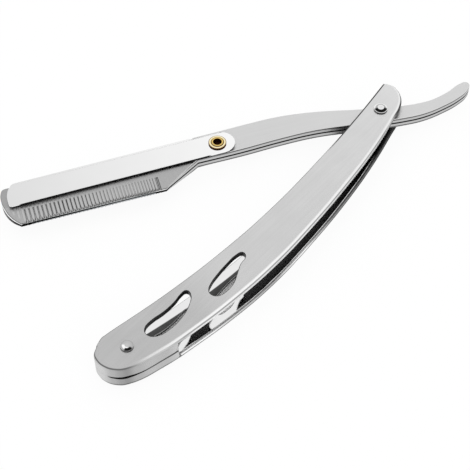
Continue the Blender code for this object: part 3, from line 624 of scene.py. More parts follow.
def plate_steel():
    """Brushed on the flat with painted shading along it, a painted highlight on the bend, a painted shade
    line under it, and a polished upright rim painted as a bright reflection.
    """
    finish = new_finish("plate_steel")
    along, across, up, share, depth = place_on_plate(finish)
    rim_share = share - across * WALL_SKEW / PLATE_RUN
    rear = (MID_PLANE - up).step(*REAR_BAND)
    fine, wide, smudge = brushing(finish, 0.0)
    # Painted shade lines below the bend, on the rear plate a darker contour line
    rear_line_tone = tone_ramp(finish, rim_share, REAR_LINE_STOPS)
    line_tone = tone_ramp(finish, share, LINE_STOPS).toward(rear_line_tone, rear)
    tone = tone_ramp(finish, share, FACE_STOPS) + fine * PLATE_FINE_CONTRAST + wide * PLATE_WIDE_CONTRAST
    # Painted shade along the free edge near the pivot
    tone = tone.toward(EDGE_SHADE_TONE, edge_shade_share(along, across))
    # Painted highlight on the bend
    tone = tone.toward(tone_ramp(finish, share, BEND_HIGHLIGHT_STOPS), depth.step(*BEND_BAND))
    tone = tone.toward(line_tone, depth.step(*LINE_BAND))
    # The upright rim: painted reflection of the bright room, with painted shade near its ends
    wall = (depth - rear * REAR_LINE_EXTRA).step(*WALL_BAND)
    # The rear plate's painted shade line is not metallic, so that it stays dark at grazing angles
    matt = rear * (1.0 - wall) * depth.step(*LINE_BAND)
    tone = tone.toward(tone_ramp(finish, rim_share, WALL_STOPS), wall) + smudge * PLATE_SMUDGE_CONTRAST
    return finish.surface({
        "Base Color": tinted(finish, tone, STEEL_TINT),
        "Metallic": 1.0 - matt,
        "Specular IOR Level": 0.0,
        "Roughness": PLATE_ROUGHNESS + fine * GRAIN_ROUGHNESS - wall * WALL_POLISH,
        "Normal": grain_normal(finish, fine),
    })


def line_steel():
    """The plates' softened edges, with painted light and shade: a dark outline outside, grey inside, a
    painted highlight at the rims' ends and painted shade at the seam.
    """
    finish = new_finish("plate_line")
    _, across, up, share, depth = place_on_plate(finish)
    height = (up - MID_PLANE).size()
    tone = tone_ramp(finish, share - across * WALL_SKEW / PLATE_RUN, SEAM_STOPS)
    tone = tone.toward(tone_ramp(finish, share, ROUND_STOPS), height.step(*SEAM_BAND))
    tone = tone.toward(INNER_ROUND_TONE, 1.0 - depth.step(*INNER_ROUND_BAND))
    tone = tone.toward(OUTER_ROUND_TONE, 1.0 - depth.step(*OUTER_ROUND_BAND))
    return metal(finish, tone, LINE_ROUGHNESS)


def edge_distances(finish):
    """How far a point lies inside the plates' free edge and inside their back."""
    along, across, _ = place_on(finish, 0.0, FRONT_CREST)
    front = across + along * along * FRONT_CURVE
    along, across, _ = place_on(finish, 0.0, BACK_CREST)
    return front, 0.0 - across - along * along * BACK_CURVE


def inside_steel():
    """The rear plate's inside: a painted reflection along both edges, rougher and darker with painted shade
    between them and near the pivot.
    """
    finish = new_finish("plate_inside_bright")
    front, back = edge_distances(finish)
    duller_and_shaded = front.step(*band(FRONT_STRIP, STRIP_FADE)) * back.step(*band(BACK_STRIP, STRIP_FADE))
    near = 1.0 - place_on(finish)[0].step(*NEAR_PIVOT_BAND)
    duller_and_shaded = duller_and_shaded.at_least(near)
    scuffs = marks(finish, INSIDE_MARK_SIZE, WIPE_DETAIL) * INSIDE_MARK_CONTRAST
    # Painted reflection on the strips, painted shade between them and near the pivot
    tone = REFLECTION_STRIP_TONE - duller_and_shaded * SHADE_TONE_FALL - near * NEAR_PIVOT_SHADE_FALL + scuffs
    return metal(finish, tone, STRIP_ROUGHNESS + duller_and_shaded * DULL_ROUGHNESS)


def leaf_steel():
    """The leaves' flat faces, brushed along the arm, with painted shading darker at the toe."""
    start = FROM_ARM @ Vector((-LEAF_OVERRUN_SHARE * EDGE_MIDDLE, 0, 0))
    run = LEAF_RUN_SHARE * EDGE_MIDDLE
    return brushed("leaf_steel", ARM_TURN, start, run, LEAF_STOPS, LEAF_CONTRAST, LEAF_ROUGHNESS)


def leaf_edge(name, tone, rim_tone, head_tone):
    """A leaf's cut edge, with painted shade: black at the leaves' seam and dark outside, but on the head
    black at the rear.
    """
    finish = new_finish(name)
    along, _, up = place_on(finish, ARM_TURN)
    height = (up - MID_PLANE).size()
    grey = LEAF_SEAM_TONE + height.step(*LEAF_SEAM_BAND) * (tone - LEAF_SEAM_TONE)
    grey = grey.toward(rim_tone, height.step(*LEAF_RIM_BAND))
    front = (up - MID_PLANE).step(*LEAF_FRONT_BAND)
    head = along.step(HEEL_CORNER - HEAD_FADE, HEEL_CORNER)
    grey = grey.toward(HEAD_REAR_TONE + front * (head_tone - HEAD_REAR_TONE), head)
    return metal(finish, grey, LINE_ROUGHNESS)


def flank_steel():
    """The head's flanks between the ribs, brushed across the arm."""
    start = FROM_ARM @ Vector((HEEL_CORNER, 0, 0))
    turn = ARM_TURN + QUARTER_TURN
    return brushed("rib_steel", turn, start, EDGE_LENGTH, FLANK_STOPS, FLANK_CONTRAST, FLANK_ROUGHNESS)


def rib_bar_steel():
    """The ribs: a painted highlight on their backs, painted shade down in the grooves, fading out at their
    ends.
    """
    finish = new_finish("rib_bar_steel")
    across = finish.node("ShaderNodeAttribute", {"attribute_name": "rib_across"}, None, "Fac")
    along = finish.node("ShaderNodeAttribute", {"attribute_name": "rib_along"}, None, "Fac")
    fine = grain(finish, ARM_TURN + QUARTER_TURN, *FINE_GRAIN)
    down = place_on(finish, ARM_TURN)[1]
    tone = RIB_BACK_TONE - across * across * RIB_GROOVE_FALL
    tone = tone.toward(RIB_END_TONE, (1.0 - down.step(*RIB_TOP_BAND)) * RIB_TOP_FADE)
    tone = tone.toward(RIB_END_TONE, along.size().step(*RIB_END_BAND)) + fine * RIB_CONTRAST
    return metal(finish, tone, RIB_ROUGHNESS)


def mirror_steel():
    """The mirror-polished cover, with painted shading darker towards its toe and a painted shade line along
    its fold.
    """
    finish = new_finish("mirror_steel")
    heel = FROM_ARM @ (TO_ARM @ EYELET - Vector((COVER_HEEL_REACH, 0, 0)))
    along, _, up = place_on(finish, ARM_TURN, heel)
    wiped = wiping(finish)
    share = (along / COVER_RUN).at_least(0.0).at_most(1.0)
    depth = COVER_HALF_HEIGHT - (up - (MID_PLANE - heel.z)).size()
    tone = COVER_TONE - share * COVER_TONE_FALL + wiped * WIPE_CONTRAST
    tone = tone.toward(FOLD_TONE, depth.between(FOLD_START_BAND, FOLD_END_BAND))
    return metal(finish, tone, wiped_roughness(COVER_ROUGHNESS, wiped))


def cover_line():
    """The cover's softened edges: a painted highlight round its ends, black painted shade along its open
    side.
    """
    finish = new_finish("cover_line")
    along = place_on(finish, ARM_TURN)[0]
    start, end = (TO_ARM @ EYELET).x + COVER_LINE_HEEL_GAP, COVER_TOE - COVER_LINE_TOE_GAP
    side = along.between((start, start + COVER_LINE_FADE), (end, end + COVER_LINE_FADE))
    return metal(finish, COVER_END_TONE - side * COVER_SIDE_FALL, COVER_LINE_ROUGHNESS)


def rivet_head(name, node, rings, crescents):
    """A rivet's head in painted light and shade: a grey for each ring, then crescents towards one side,
    lighter ones painted highlights and darker ones painted shadows.
    """
    finish = new_finish(name)
    out, side, _ = place_on(finish, 0.0, box_middle(node))
    reach = (out * out + side * side) ** 0.5
    share = reach / node_size(node)[0]
    grey = tone_ramp(finish, share, rings)
    for turn, tone, side_band, (inner, outer) in crescents:
        toward = (out * math.cos(turn) + side * math.sin(turn)) / reach
        ring = share.between(band(inner, CRESCENT_FADE), band(outer, CRESCENT_FADE))
        grey = grey.toward(tone, toward.step(*side_band) * ring)
    return metal(finish, grey, HEAD_ROUGHNESS)


def node_size(node):
    """Outer radius and half height of a round node."""
    low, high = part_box(node)
    return (high[0] - low[0]) / 2, (high[2] - low[2]) / 2


PLATE_STEEL = plate_steel()
# Painted shade: the front plate's inside, the plates' cut edges and their rims' ends are painted near black
PLATE_DARK = painted_dark_face("plate_inside", 0.05, 0.35)
# The rear plate's inside: painted reflection along its edges, painted shade between them
PLATE_BRIGHT = inside_steel()
PLATE_EDGE = painted_dark_face("plate_edge", 0.03, 0.30)
PLATE_LINE = line_steel()
RIM_END_STEEL = painted_dark_face("rim_end", 0.02, 0.3)
LEAF_STEEL = leaf_steel()
FLANK_STEEL = flank_steel()
RIB_BAR_STEEL = rib_bar_steel()
# Leaf edges: painted shade at the rim and a painted highlight on the front leaf's head edge; their softened
# edges a painted highlight at the rim and painted shade on the head
LEAF_EDGE = leaf_edge("leaf_edge", 0.55, 0.14, 0.90)
# Painted shade where the leaves meet
LEAF_DARK = painted_dark_face("leaf_inside", 0.02, 0.40)
LEAF_LINE = leaf_edge("leaf_line", 0.55, 0.70, 0.12)
MIRROR_STEEL = mirror_steel()
# Painted shade: the cover's cut edges near black and its inside dark grey
MIRROR_EDGE = painted_dark_face("cover_edge", 0.01, 0.25)
MIRROR_INSIDE = painted_dark_face("cover_inside", 0.20, 0.30)
MIRROR_LINE = cover_line()
RIVET_STEEL = polished("rivet_steel", STEEL_TINT, 0.66, 0.70, 0.16)
# Painted shadow: the rivets' shoulders, the side and underside of each head, are near black
RIVET_DARK = polished("rivet_shoulder", STEEL_TINT, 0.015, 0.015, 0.20)
# Painted highlights and painted shadows on the rivet heads
PIVOT_HEAD = rivet_head("pivot_head", "pivot_rivet", PIVOT_RINGS, PIVOT_CRESCENTS)
END_HEAD = rivet_head("end_head", "end_rivet", END_RINGS, END_CRESCENTS)
BLADE_STEEL = polished("blade_steel", BLADE_TINT, 0.52, 0.56, 0.18)
BRASS = polished("brass", BRASS_TINT, 0.74, 0.78, 0.14)
# The eyelet: a painted reflection on its flange, painted shade on its shoulder and round its outer rim, and
# a dark bore
BRASS_BRIGHT = polished("brass_flange", FLANGE_TINT, 0.95, 0.95, 0.14)
BRASS_SHADE = polished("brass_shoulder", SHOULDER_TINT, 0.10, 0.10, 0.25)
BRASS_DARK = polished("brass_bore", BORE_TINT, 0.16, 0.16, 0.35)


# Copies of the sheet pieces


def node_triangles(*nodes):
    """The nodes' triangles as one shape to cast rays at."""
    corners, faces = [], []
    for node in nodes:
        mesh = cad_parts[node].data
        first = len(corners)
        corners += [vertex.co.copy() for vertex in mesh.vertices]
        faces += [[first + i for i in face.vertices] for face in mesh.polygons]
    return BVHTree.FromPolygons(corners, faces)


def metal_behind(face, shape):
    """How much metal lies behind a face."""
    start = face.calc_center_median() - face.normal * RAY_START
    hit = shape.ray_cast(start, -face.normal)
    return hit[3] if hit[0] else 0


def faces_something(face, shape, reach):
    start = face.calc_center_median() + face.normal * RAY_START
    return shape.ray_cast(start, face.normal, reach)[0] is not None


def longest_edge(face):
    return max(face.edges, key=lambda edge: edge.calc_length())


def is_sliver(face):
    return 2 * face.calc_area() < SLIVER_WIDTH * longest_edge(face).calc_length()


def join_slivers(form):
    """Joins each needle-like face, whose slope says nothing, with the one beside its longest edge."""
    for _ in range(SLIVER_ROUNDS):
        long_edges = list(dict.fromkeys(longest_edge(face) for face in form.faces if is_sliver(face)))
        if not long_edges:
            break
        bmesh.ops.dissolve_edges(form, edges=long_edges, use_verts=False)


def copied_piece(name, node, body, finishes, kind_of, width_of):
    """A copy of a node with joined faces, a finish for each kind of face and softened edges.

    The last finish is that of the softened edges.
    """
    form = bmesh.new()
    form.from_mesh(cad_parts[node].data)
    bmesh.ops.remove_doubles(form, verts=form.verts, dist=MERGE_DISTANCE)
    join_slivers(form)
    for face in form.faces:
        face.material_index = kind_of(face)
    bmesh.ops.dissolve_limit(
        form, angle_limit=FLAT_ANGLE, verts=form.verts, edges=form.edges, delimit={"MATERIAL"}
    )
    weights = form.edges.layers.float.new("bevel_weight_edge")
    for edge in form.edges:
        if len(edge.link_faces) == 2 and edge.calc_face_angle() > BEVEL_ANGLE:
            edge[weights] = width_of(edge) / WIDEST_BEVEL
    piece = place_piece(name, mesh_of(form, name), body, finishes)
    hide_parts(node)
    soften(piece, len(finishes) - 1)
    return piece


def mesh_of(form, name):
    mesh = bpy.data.meshes.new(name)
    form.to_mesh(mesh)
    form.free()
    return mesh


def place_piece(name, mesh, body, finishes):
    """A smooth-shaded piece with sharp folds and its finishes in order."""
    for finish in finishes:
        mesh.materials.append(finish)
    mesh.shade_smooth()
    mesh.set_sharp_from_angle(angle=SMOOTH_ANGLE)
    return add_piece(name, mesh, body)


def add_piece(name, mesh, body):
    """A finished piece that rides a body."""
    piece = bpy.data.objects.new(name, mesh)
    bpy.context.scene.collection.objects.link(piece)
    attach(piece, body)
    return piece


def soften(piece, line):
    """Softened edges with a finish of their own, and large faces that keep their own slope."""
    bevel = piece.modifiers.new("softened_edges", "BEVEL")
    bevel.material = line
    bevel.width = WIDEST_BEVEL
    bevel.segments = BEVEL_SEGMENTS
    bevel.limit_method = "WEIGHT"
    bevel.loop_slide = False
    bevel.use_clamp_overlap = False
    even = piece.modifiers.new("even_shading", "WEIGHTED_NORMAL")
    even.mode = "FACE_AREA"
    even.keep_sharp = True


def edge_kinds(edge):
    return {face.material_index for face in edge.link_faces}


def edge_middle(edge):
    return (edge.verts[0].co + edge.verts[1].co) / 2


def smooth_share(value, low, high):
    share = min(max((value - low) / (high - low), 0), 1)
    return share * share * (3 - 2 * share)


def plate_depth(point):
    """How far a point lies below the bowed faces of the plates."""
    rise = smooth_share(point.x, 0, BOW_RISE_END)
    fall = smooth_share(point.x, BOW_FALL_START, HANDLE_LENGTH)
    return PLATE_FACE_HALF + rise * (1 - fall) * PLATE_BOW - abs(point.z - MID_PLANE)


def plate_bevel(edge):
    """Width of a plate's softened edge: none at its inner edges and at its sharp far corner."""
    kinds, middle = edge_kinds(edge), edge_middle(edge)
    if kinds in ({CUT}, {HOLLOW, RIM_END}) or (middle - FAR_CORNER).to_2d().length < FAR_CORNER_REACH:
        return 0
    if kinds == {FLAT, RIM_END} and plate_depth(middle) < 2 * RIM_END_DEPTH:
        return RIM_END_ROUND
    return PLATE_BEVEL


def dress_plate(node, inside):
    """A handle plate: brushed outside, the given finish inside, and painted shade on its cut edges and rim
    ends.
    """
    own = node_triangles(node)
    handle = node_triangles("front_scale", "rear_scale")

    def kind_of(face):
        middle = face.calc_center_median()
        if abs(face.normal.z) > UPRIGHT_SHARE:
            if face.normal.z * (middle.z - MID_PLANE) > 0:
                return FLAT
            return RIM_END if plate_depth(middle) > RIM_END_DEPTH else HOLLOW
        if metal_behind(face, own) > PLATE_WALL:
            return CUT
        return HOLLOW if faces_something(face, handle, HANDLE_HOLLOW) else FLAT

    finishes = [PLATE_STEEL, inside, PLATE_EDGE, RIM_END_STEEL, PLATE_LINE]
    return copied_piece(node + "_sheet", node, "handle", finishes, kind_of, plate_bevel)


def dress_leaf(node):
    """A leaf of the arm: plain tang and shank, the head's flank duller and darker, and painted shade where
    the leaves meet.
    """
    flat, flank, cut, inner = range(4)

    def kind_of(face):
        upright = abs(face.normal.z)
        if upright < UPRIGHT_SHARE:
            return cut
        if face.normal.z * (face.calc_center_median().z - MID_PLANE) <= 0:
            return inner
        middle = TO_ARM @ face.calc_center_median()
        on_head = middle.x > HEEL_CORNER and middle.y > WEDGE_START
        return flank if on_head or upright < math.cos(FLANK_TILT) else flat

    def width_of(edge):
        return 0 if edge_kinds(edge) == {cut} else LEAF_BEVEL

    finishes = [LEAF_STEEL, FLANK_STEEL, LEAF_EDGE, LEAF_DARK, LEAF_LINE]
    copied_piece(node + "_sheet", node, "arm", finishes, kind_of, width_of)


def dress_cover():
    """The folded cover: a mirror outside, rougher and darkened by painted shade inside, and painted shade
    on its cut edges.
    """
    outer, cut, inner = range(3)
    own = node_triangles("swing_cover")

    def kind_of(face):
        if metal_behind(face, own) > COVER_WALL:
            return cut
        return inner if faces_something(face, own, HANDLE_HOLLOW) else outer

    def width_of(edge):
        run = TO_ARM @ edge.verts[0].co - TO_ARM @ edge.verts[1].co
        on_side = abs(run.x) > COVER_SIDE_RUN_SHARE * run.length
        return COVER_SIDE_BEVEL if on_side and edge_kinds(edge) == {outer, cut} else COVER_BEVEL

    finishes = [MIRROR_STEEL, MIRROR_EDGE, MIRROR_INSIDE, MIRROR_LINE]
    copied_piece("cover_sheet", "swing_cover", "cover", finishes, kind_of, width_of)


# Collars of the cut-outs


def ring_through(first, beside):
    """The closed chain through a corner, or nothing where the chain ends or forks."""
    ring, here, before = [first], first, None
    while len(beside.get(here, ())) == 2:
        before, here = here, next(corner for corner in beside[here] if corner is not before)
        if here is first:
            return ring
        ring.append(here)
    return []


def rings_of(edges):
    """Closed chains among the edges, each as a list of its corners in order."""
    beside = {}
    for edge in edges:
        for one, other in (edge.verts, reversed(edge.verts)):
            beside.setdefault(one, []).append(other)
    rings = []
    while beside:
        first = next(iter(beside))
        ring = ring_through(first, beside)
        for corner in ring or [first]:
            beside.pop(corner)
        if ring:
            rings.append([corner.co.copy() for corner in ring])
    return rings


def add_collar(form, rim, centre):
    """A narrow strip that hangs round the outside of a cut-out's rim."""
    following = rim[1:] + rim[:1]
    turning = sum((a - centre).to_2d().cross((b - centre).to_2d()) for a, b in zip(rim, following))
    side = 1 if turning > 0 else -1
    up, down = Vector((0, 0, COLLAR_HOLD)), Vector((0, 0, -COLLAR_DEPTH))
    rows = []
    for before, here, after in zip(rim[-1:] + rim[:-1], rim, following):
        run = (after - before).to_2d().normalized()
        far = here + Vector((run.y, -run.x, 0)) * side * COLLAR_SHEET
        rows.append([form.verts.new(corner) for corner in (here + up, here + down, far + down, far + up)])
    for row, beyond in zip(rows, rows[1:] + rows[:1]):
        for i, j in ((0, 1), (1, 2), (2, 3), (3, 0)):
            form.faces.new((row[i], row[j], beyond[j], beyond[i]))


def add_collars(plate):
    """A turned-in collar under each cut-out of the front plate, but not under its rivet holes, painted near
    black for the shade there.
    """
    form = bmesh.new()
    form.from_mesh(plate.data)
    rims = rings_of([edge for edge in form.edges if edge_kinds(edge) == {HOLLOW, CUT}])
    form.free()
    form = bmesh.new()
    for rim in rims:
        centre = sum(rim, Vector()) / len(rim)
        if max((corner - centre).length for corner in rim) > CUTOUT_REACH:
            add_collar(form, rim, centre)
    bmesh.ops.recalc_face_normals(form, faces=form.faces)
    # The collars take the cut edges' near black painted shade
    place_piece("cutout_collars", mesh_of(form, "cutout_collars"), "handle", [PLATE_EDGE])


# Ribs of the head


def rib_inputs():
    """The inputs of the ribs' tree: each name with its kind of socket and its value."""
    slope = math.atan2(LEAF_HALF_HEIGHT - EDGE_HALF_THICKNESS, EDGE_LINE - WEDGE_START)
    flank_end = (EDGE_LINE - WEDGE_START) / math.cos(slope)
    down = flank_end - RIB_LENGTH / 2 - RIB_PITCH_AT_HEEL / 2
    middle = (0, WEDGE_START + down * math.cos(slope), LEAF_HALF_HEIGHT - down * math.sin(slope) - RIB_SINK)
    return {
        "Count": ("NodeSocketInt", RIB_COUNT),
        "First Place": ("NodeSocketFloat", TOE_CORNER - FIRST_RIB_FROM_TOE),
        "Toe Pitch": ("NodeSocketFloat", RIB_PITCH_AT_TOE),
        "Heel Pitch": ("NodeSocketFloat", RIB_PITCH_AT_HEEL),
        "Length": ("NodeSocketFloat", RIB_LENGTH),
        "Width Share": ("NodeSocketFloat", RIB_WIDTH_SHARE),
        "Rise Share": ("NodeSocketFloat", RIB_RISE_SHARE),
        "Slope": ("NodeSocketFloat", slope),
        "Flank Middle": ("NodeSocketVector", middle),
        "Toe Corner": ("NodeSocketFloat", TOE_CORNER),
        "Finish": ("NodeSocketMaterial", RIB_BAR_STEEL),
    }


def rib_tree(inputs):
    """Bars side by side on both flanks of the head, in the arm's own frame."""
    tree = bpy.data.node_groups.new("head_ribs", "GeometryNodeTree")
    tree.interface.new_socket("Geometry", in_out="OUTPUT", socket_type="NodeSocketGeometry")
    for name, (kind, _) in inputs.items():
        tree.interface.new_socket(name, in_out="INPUT", socket_type=kind)
    ribs = Nodes(tree)
    given = {socket.name: Value(ribs, socket) for socket in ribs.node("NodeGroupInput").socket.node.outputs}
    place, size = rib_layout(ribs, given)
    bar = rib_bar(ribs)
    both = ribs.node("GeometryNodeJoinGeometry")
    for sign in (1.0, -1.0):
        along, across, height = place
        where = ribs.node("ShaderNodeCombineXYZ", None, {0: along, 1: across, 2: height * sign})
        line = ribs.node("GeometryNodeMeshLine", None, {"Count": given["Count"]})
        moved = ribs.node("GeometryNodeSetPosition", None, {"Geometry": line, "Position": where})
        lean = given["Slope"] * -sign + (0.0 if sign > 0 else math.pi)
        turn = ribs.node("ShaderNodeCombineXYZ", None, {0: lean})
        copies = {"Points": moved, "Instance": bar, "Rotation": turn, "Scale": size}
        ribs.feed(both.socket.node.inputs[0], ribs.node("GeometryNodeInstanceOnPoints", None, copies))
    solid = ribs.node("GeometryNodeRealizeInstances", None, {0: both})
    dressed = ribs.node("GeometryNodeSetMaterial", None, {"Geometry": solid, "Material": given["Finish"]})
    ribs.feed(tree.nodes.new("NodeGroupOutput").inputs["Geometry"], dressed)
    return tree


def rib_layout(ribs, given):
    """Place and size of each bar: the pitch changes evenly, and the toe's curve shortens the first ones."""
    index = ribs.node("GeometryNodeInputIndex")
    growth = (given["Heel Pitch"] - given["Toe Pitch"]) / (given["Count"] - 1.0)
    pitch = given["Toe Pitch"] + growth * index
    travelled = given["Toe Pitch"] * index + growth / 2.0 * (index * (index - 1.0))
    along = given["First Place"] - travelled
    width = pitch * given["Width Share"]
    lost = (along - given["Toe Corner"] + width).at_least(0.0) * TOE_CURVE_SLOPE
    back = lost * 0.5
    _, across, height = ribs.parts(given["Flank Middle"])
    across = across - back * given["Slope"].cosine()
    height = height + back * given["Slope"].sine()
    rise = pitch * given["Rise Share"]
    size = ribs.node("ShaderNodeCombineXYZ", None, {0: width, 1: given["Length"] - lost, 2: rise})
    return (along, across, height), size


def rib_bar(ribs):
    """A bar of unit size that lies along Y, round on every side and slimmer at its ends."""
    rounds = {"Segments": RIB_RING_STEPS, "Rings": RIB_RING_STEPS, "Radius": 0.5}
    ball = ribs.node("GeometryNodeMeshUVSphere", None, rounds)
    spin = ribs.node("GeometryNodeTransform", None, {"Geometry": ball, "Rotation": (QUARTER_TURN, 0, 0)})
    across, along, _ = ribs.parts(ribs.node("GeometryNodeInputPosition"))
    drawn_out = along.sign() * (along.size() * 2.0) ** RIB_END_POWER
    shift = ribs.node("ShaderNodeCombineXYZ", None, {1: drawn_out * 0.5 - along})
    bar = ribs.node("GeometryNodeSetPosition", None, {"Geometry": spin, "Offset": shift})
    for name, where in (("rib_across", across), ("rib_along", along)):
        kept = {"Geometry": bar, "Name": name, "Value": where}
        bar = ribs.node("GeometryNodeStoreNamedAttribute", {"data_type": "FLOAT", "domain": "POINT"}, kept)
    return ribs.node("GeometryNodeSetShadeSmooth", None, {"Geometry": bar})


def add_ribs():
    """The ribs, worked out once by their tree and kept as one plain mesh."""
    inputs = rib_inputs()
    carrier = bpy.data.objects.new("rib_carrier", bpy.data.meshes.new("rib_carrier"))
    bpy.context.scene.collection.objects.link(carrier)
    maker = carrier.modifiers.new("ribs", "NODES")
    maker.node_group = rib_tree(inputs)
    for socket in maker.node_group.interface.items_tree:
        if socket.in_out == "INPUT":
            maker[socket.identifier] = inputs[socket.name][1]
    bpy.context.view_layer.update()
    graph = bpy.context.evaluated_depsgraph_get()
    mesh = bpy.data.meshes.new_from_object(carrier.evaluated_get(graph))
    bpy.data.objects.remove(carrier, do_unlink=True)
    mesh.transform(Matrix.Translation((0, 0, MID_PLANE)) @ FROM_ARM)
    add_piece("head_ribs", mesh, "arm")


# Round pieces


def turned_mesh(name, profile, place):
    """A closed section turned once round an upright axis."""
    form = bmesh.new()
    ring = [form.verts.new((radius, 0, height)) for radius, height in profile]
    edges = [form.edges.new((a, b)) for a, b in zip(ring, ring[1:])]
    if profile[0][0] > 0:
        edges.append(form.edges.new((ring[-1], ring[0])))
    bmesh.ops.spin(
        form, geom=ring + edges, cent=(0, 0, 0), axis=(0, 0, 1), angle=math.tau,
        steps=TURNED_STEPS, use_merge=True,
    )
    bmesh.ops.remove_doubles(form, verts=form.verts, dist=MERGE_DISTANCE)
    bmesh.ops.recalc_face_normals(form, faces=form.faces)
    mesh = mesh_of(form, name)
    mesh.transform(Matrix.Translation(place))
    return mesh


def lies_between(value, one, other):
    return min(one, other) - SECTION_SLACK < value < max(one, other) + SECTION_SLACK


def ring_kind(reach, height, upper, kinds):
    """The kind of the section's ring on which a place lies, or nothing on the plain rod."""
    for kind, (start_reach, start_height), (end_reach, end_height) in zip(kinds, upper, upper[1:]):
        if lies_between(reach, start_reach, end_reach) and lies_between(height, start_height, end_height):
            return kind
    return None


def turned_piece(node, body, finishes, section, foot, inner, rear_share=1.0):
    """A round node turned finely from its section, which may stand out less far at the rear."""
    middle = box_middle(node)
    radius, half = node_size(node)
    upper = [(radius * out, foot + (half - foot) * rise) for out, rise, _ in section]
    upper += [(radius, foot), (inner, foot)]
    kinds = [kind for _, _, kind in section] + [SHOULDER]
    lower = [(min(out, inner) + max(out - inner, 0) * rear_share, -up) for out, up in reversed(upper)]
    piece = place_piece(
        node + "_turned", turned_mesh(node + "_turned", upper + lower, middle), body, finishes
    )
    for face in piece.data.polygons:
        out = face.center - middle
        reach, height = math.hypot(out.x, out.y), abs(out.z)
        if out.z < 0 and reach > inner:
            reach = inner + (reach - inner) / rear_share
        plain = DARK if upper[0][0] > 0 and reach < inner else ROD
        kind = ring_kind(reach, height, upper, kinds)
        face.material_index = plain if kind is None else kind
    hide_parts(node)


def build_rivets():
    """Rivets with low stepped heads."""
    foot = PLATE_FACE_HALF + HEAD_FOOT_GAP
    finishes = [RIVET_STEEL, RIVET_DARK, PIVOT_HEAD, END_HEAD]
    turned_piece("pivot_rivet", "handle", finishes, PIVOT_SECTION_SHARES, foot, PIVOT_ROD)
    turned_piece("end_rivet", "handle", finishes, END_SECTION_SHARES, foot, END_ROD)


def build_eyelet():
    """A brass tube with both ends rolled outwards into round flanges, less far at the rear."""
    foot = node_size("eyelet")[1] - EYELET_FLANGE
    finishes = [BRASS, BRASS_SHADE, BRASS_DARK, BRASS_BRIGHT]
    section = EYELET_SECTION_SHARES
    turned_piece("eyelet", "arm", finishes, section, foot, EYELET_BARREL, EYELET_REAR_SHARE)


def dress_plain_nodes():
    """Nodes whose shape is right as it stands keep it and get their finish."""
    plain = {
        "end_spacer": RIVET_STEEL,
        "pivot_washer_front": RIVET_STEEL,
        "pivot_washer_rear": RIVET_STEEL,
        "blade_pin_toe": RIVET_STEEL,
        "blade_pin_heel": RIVET_STEEL,
        "half_blade": BLADE_STEEL,
    }
    for node, finish in plain.items():
        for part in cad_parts[node].material_slots:
            part.material = finish


# Camera, light and floor


def add_camera():
    data = bpy.data.cameras.new("camera")
    data.lens = CAMERA_LENS
    camera = bpy.data.objects.new("camera", data)
    side = Vector((math.cos(CAMERA_AZIMUTH), math.sin(CAMERA_AZIMUTH), 0)) * CAMERA_REACH
    camera.location = CAMERA_AIM + side + Vector((0, 0, CAMERA_HEIGHT))
    camera.rotation_euler = (CAMERA_TILT, 0, CAMERA_AZIMUTH + QUARTER_TURN)
    bpy.context.scene.collection.objects.link(camera)
    bpy.context.scene.camera = camera


def seen_directly(finish):
    """1 for what the camera sees, straight, in metal or through glass, and 0 for what lights the object."""
    names = ("Is Camera Ray", "Is Glossy Ray", "Is Transmission Ray")
    straight, mirrored, passed = [finish.node("ShaderNodeLightPath", output=name) for name in names]
    return straight.at_least(mirrored).at_least(passed)


def light_room():
    world = bpy.data.worlds.new("studio")
    bpy.context.scene.world = world
    room = Finish(world)
    plain = room.node("ShaderNodeBackground", None, {"Color": WHITE, "Strength": ROOM_LEVEL})
    white = room.node("ShaderNodeBackground", None, {"Color": WHITE, "Strength": WHITE_LEVEL})
    mixed = room.node("ShaderNodeMixShader", None, {0: seen_directly(room), 1: plain, 2: white})
    room.feed(room.tree.nodes["World Output"].inputs["Surface"], mixed)


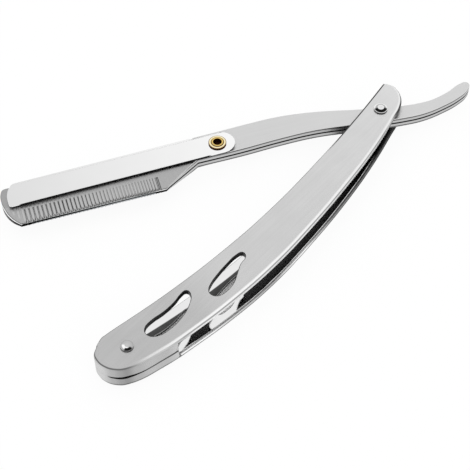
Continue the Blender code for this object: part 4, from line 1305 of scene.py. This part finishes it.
def add_lamp():
    data = bpy.data.lights.new("ceiling_lamp", "AREA")
    data.size = LAMP_SIZE
    data.energy = LAMP_POWER
    lamp = bpy.data.objects.new("ceiling_lamp", data)
    lamp.location = LAMP_PLACE + CAMERA_AIM
    lamp.visible_glossy = False
    lamp.rotation_euler = (-LAMP_PLACE).to_track_quat("-Z", "Y").to_euler()
    bpy.context.scene.collection.objects.link(lamp)


def under_handle(finish):
    """1 on the floor under the handle plates."""
    front, back = edge_distances(finish)
    along = place_on(finish)[0]
    end_band = [HANDLE_LENGTH + reach for reach in GLOW_END_BAND]
    between_rivets = along.between(GLOW_PIVOT_BAND, end_band)
    return front.step(*GLOW_FRONT_BAND) * back.step(*GLOW_BACK_BAND) * between_rivets


def floor_white():
    """A matt pale floor that also glows white to the camera, but not under the handle."""
    finish = new_finish("floor_white")
    matt = finish.surface({"Base Color": FLOOR_COLOUR, "Roughness": 1.0, "Specular IOR Level": 0.0})
    glow = finish.node("ShaderNodeEmission", None, {"Color": WHITE, "Strength": WHITE_LEVEL})
    share = seen_directly(finish) * FLOOR_GLOW * (1.0 - under_handle(finish))
    own = Value(finish, finish.shader.outputs[0])
    mixed = finish.node("ShaderNodeMixShader", None, {0: share, 1: own, 2: glow})
    finish.feed(finish.tree.nodes["Material Output"].inputs["Surface"], mixed)
    return matt


def add_floor():
    form = bmesh.new()
    bmesh.ops.create_grid(form, x_segments=1, y_segments=1, size=FLOOR_SIZE / 2)
    mesh = mesh_of(form, "floor")
    mesh.transform(Matrix.Translation((0, 0, cad_box[0][2] - FLOOR_DROP)))
    mesh.materials.append(floor_white())
    floor = bpy.data.objects.new("floor", mesh)
    bpy.context.scene.collection.objects.link(floor)


add_camera()
light_room()
add_lamp()
add_floor()
bpy.context.scene.view_settings.view_transform = "Standard"
add_collars(dress_plate("front_scale", PLATE_DARK))
dress_plate("rear_scale", PLATE_BRIGHT)
dress_leaf("arm_front_leaf")
dress_leaf("arm_rear_leaf")
dress_cover()
add_ribs()
build_rivets()
build_eyelet()
dress_plain_nodes()
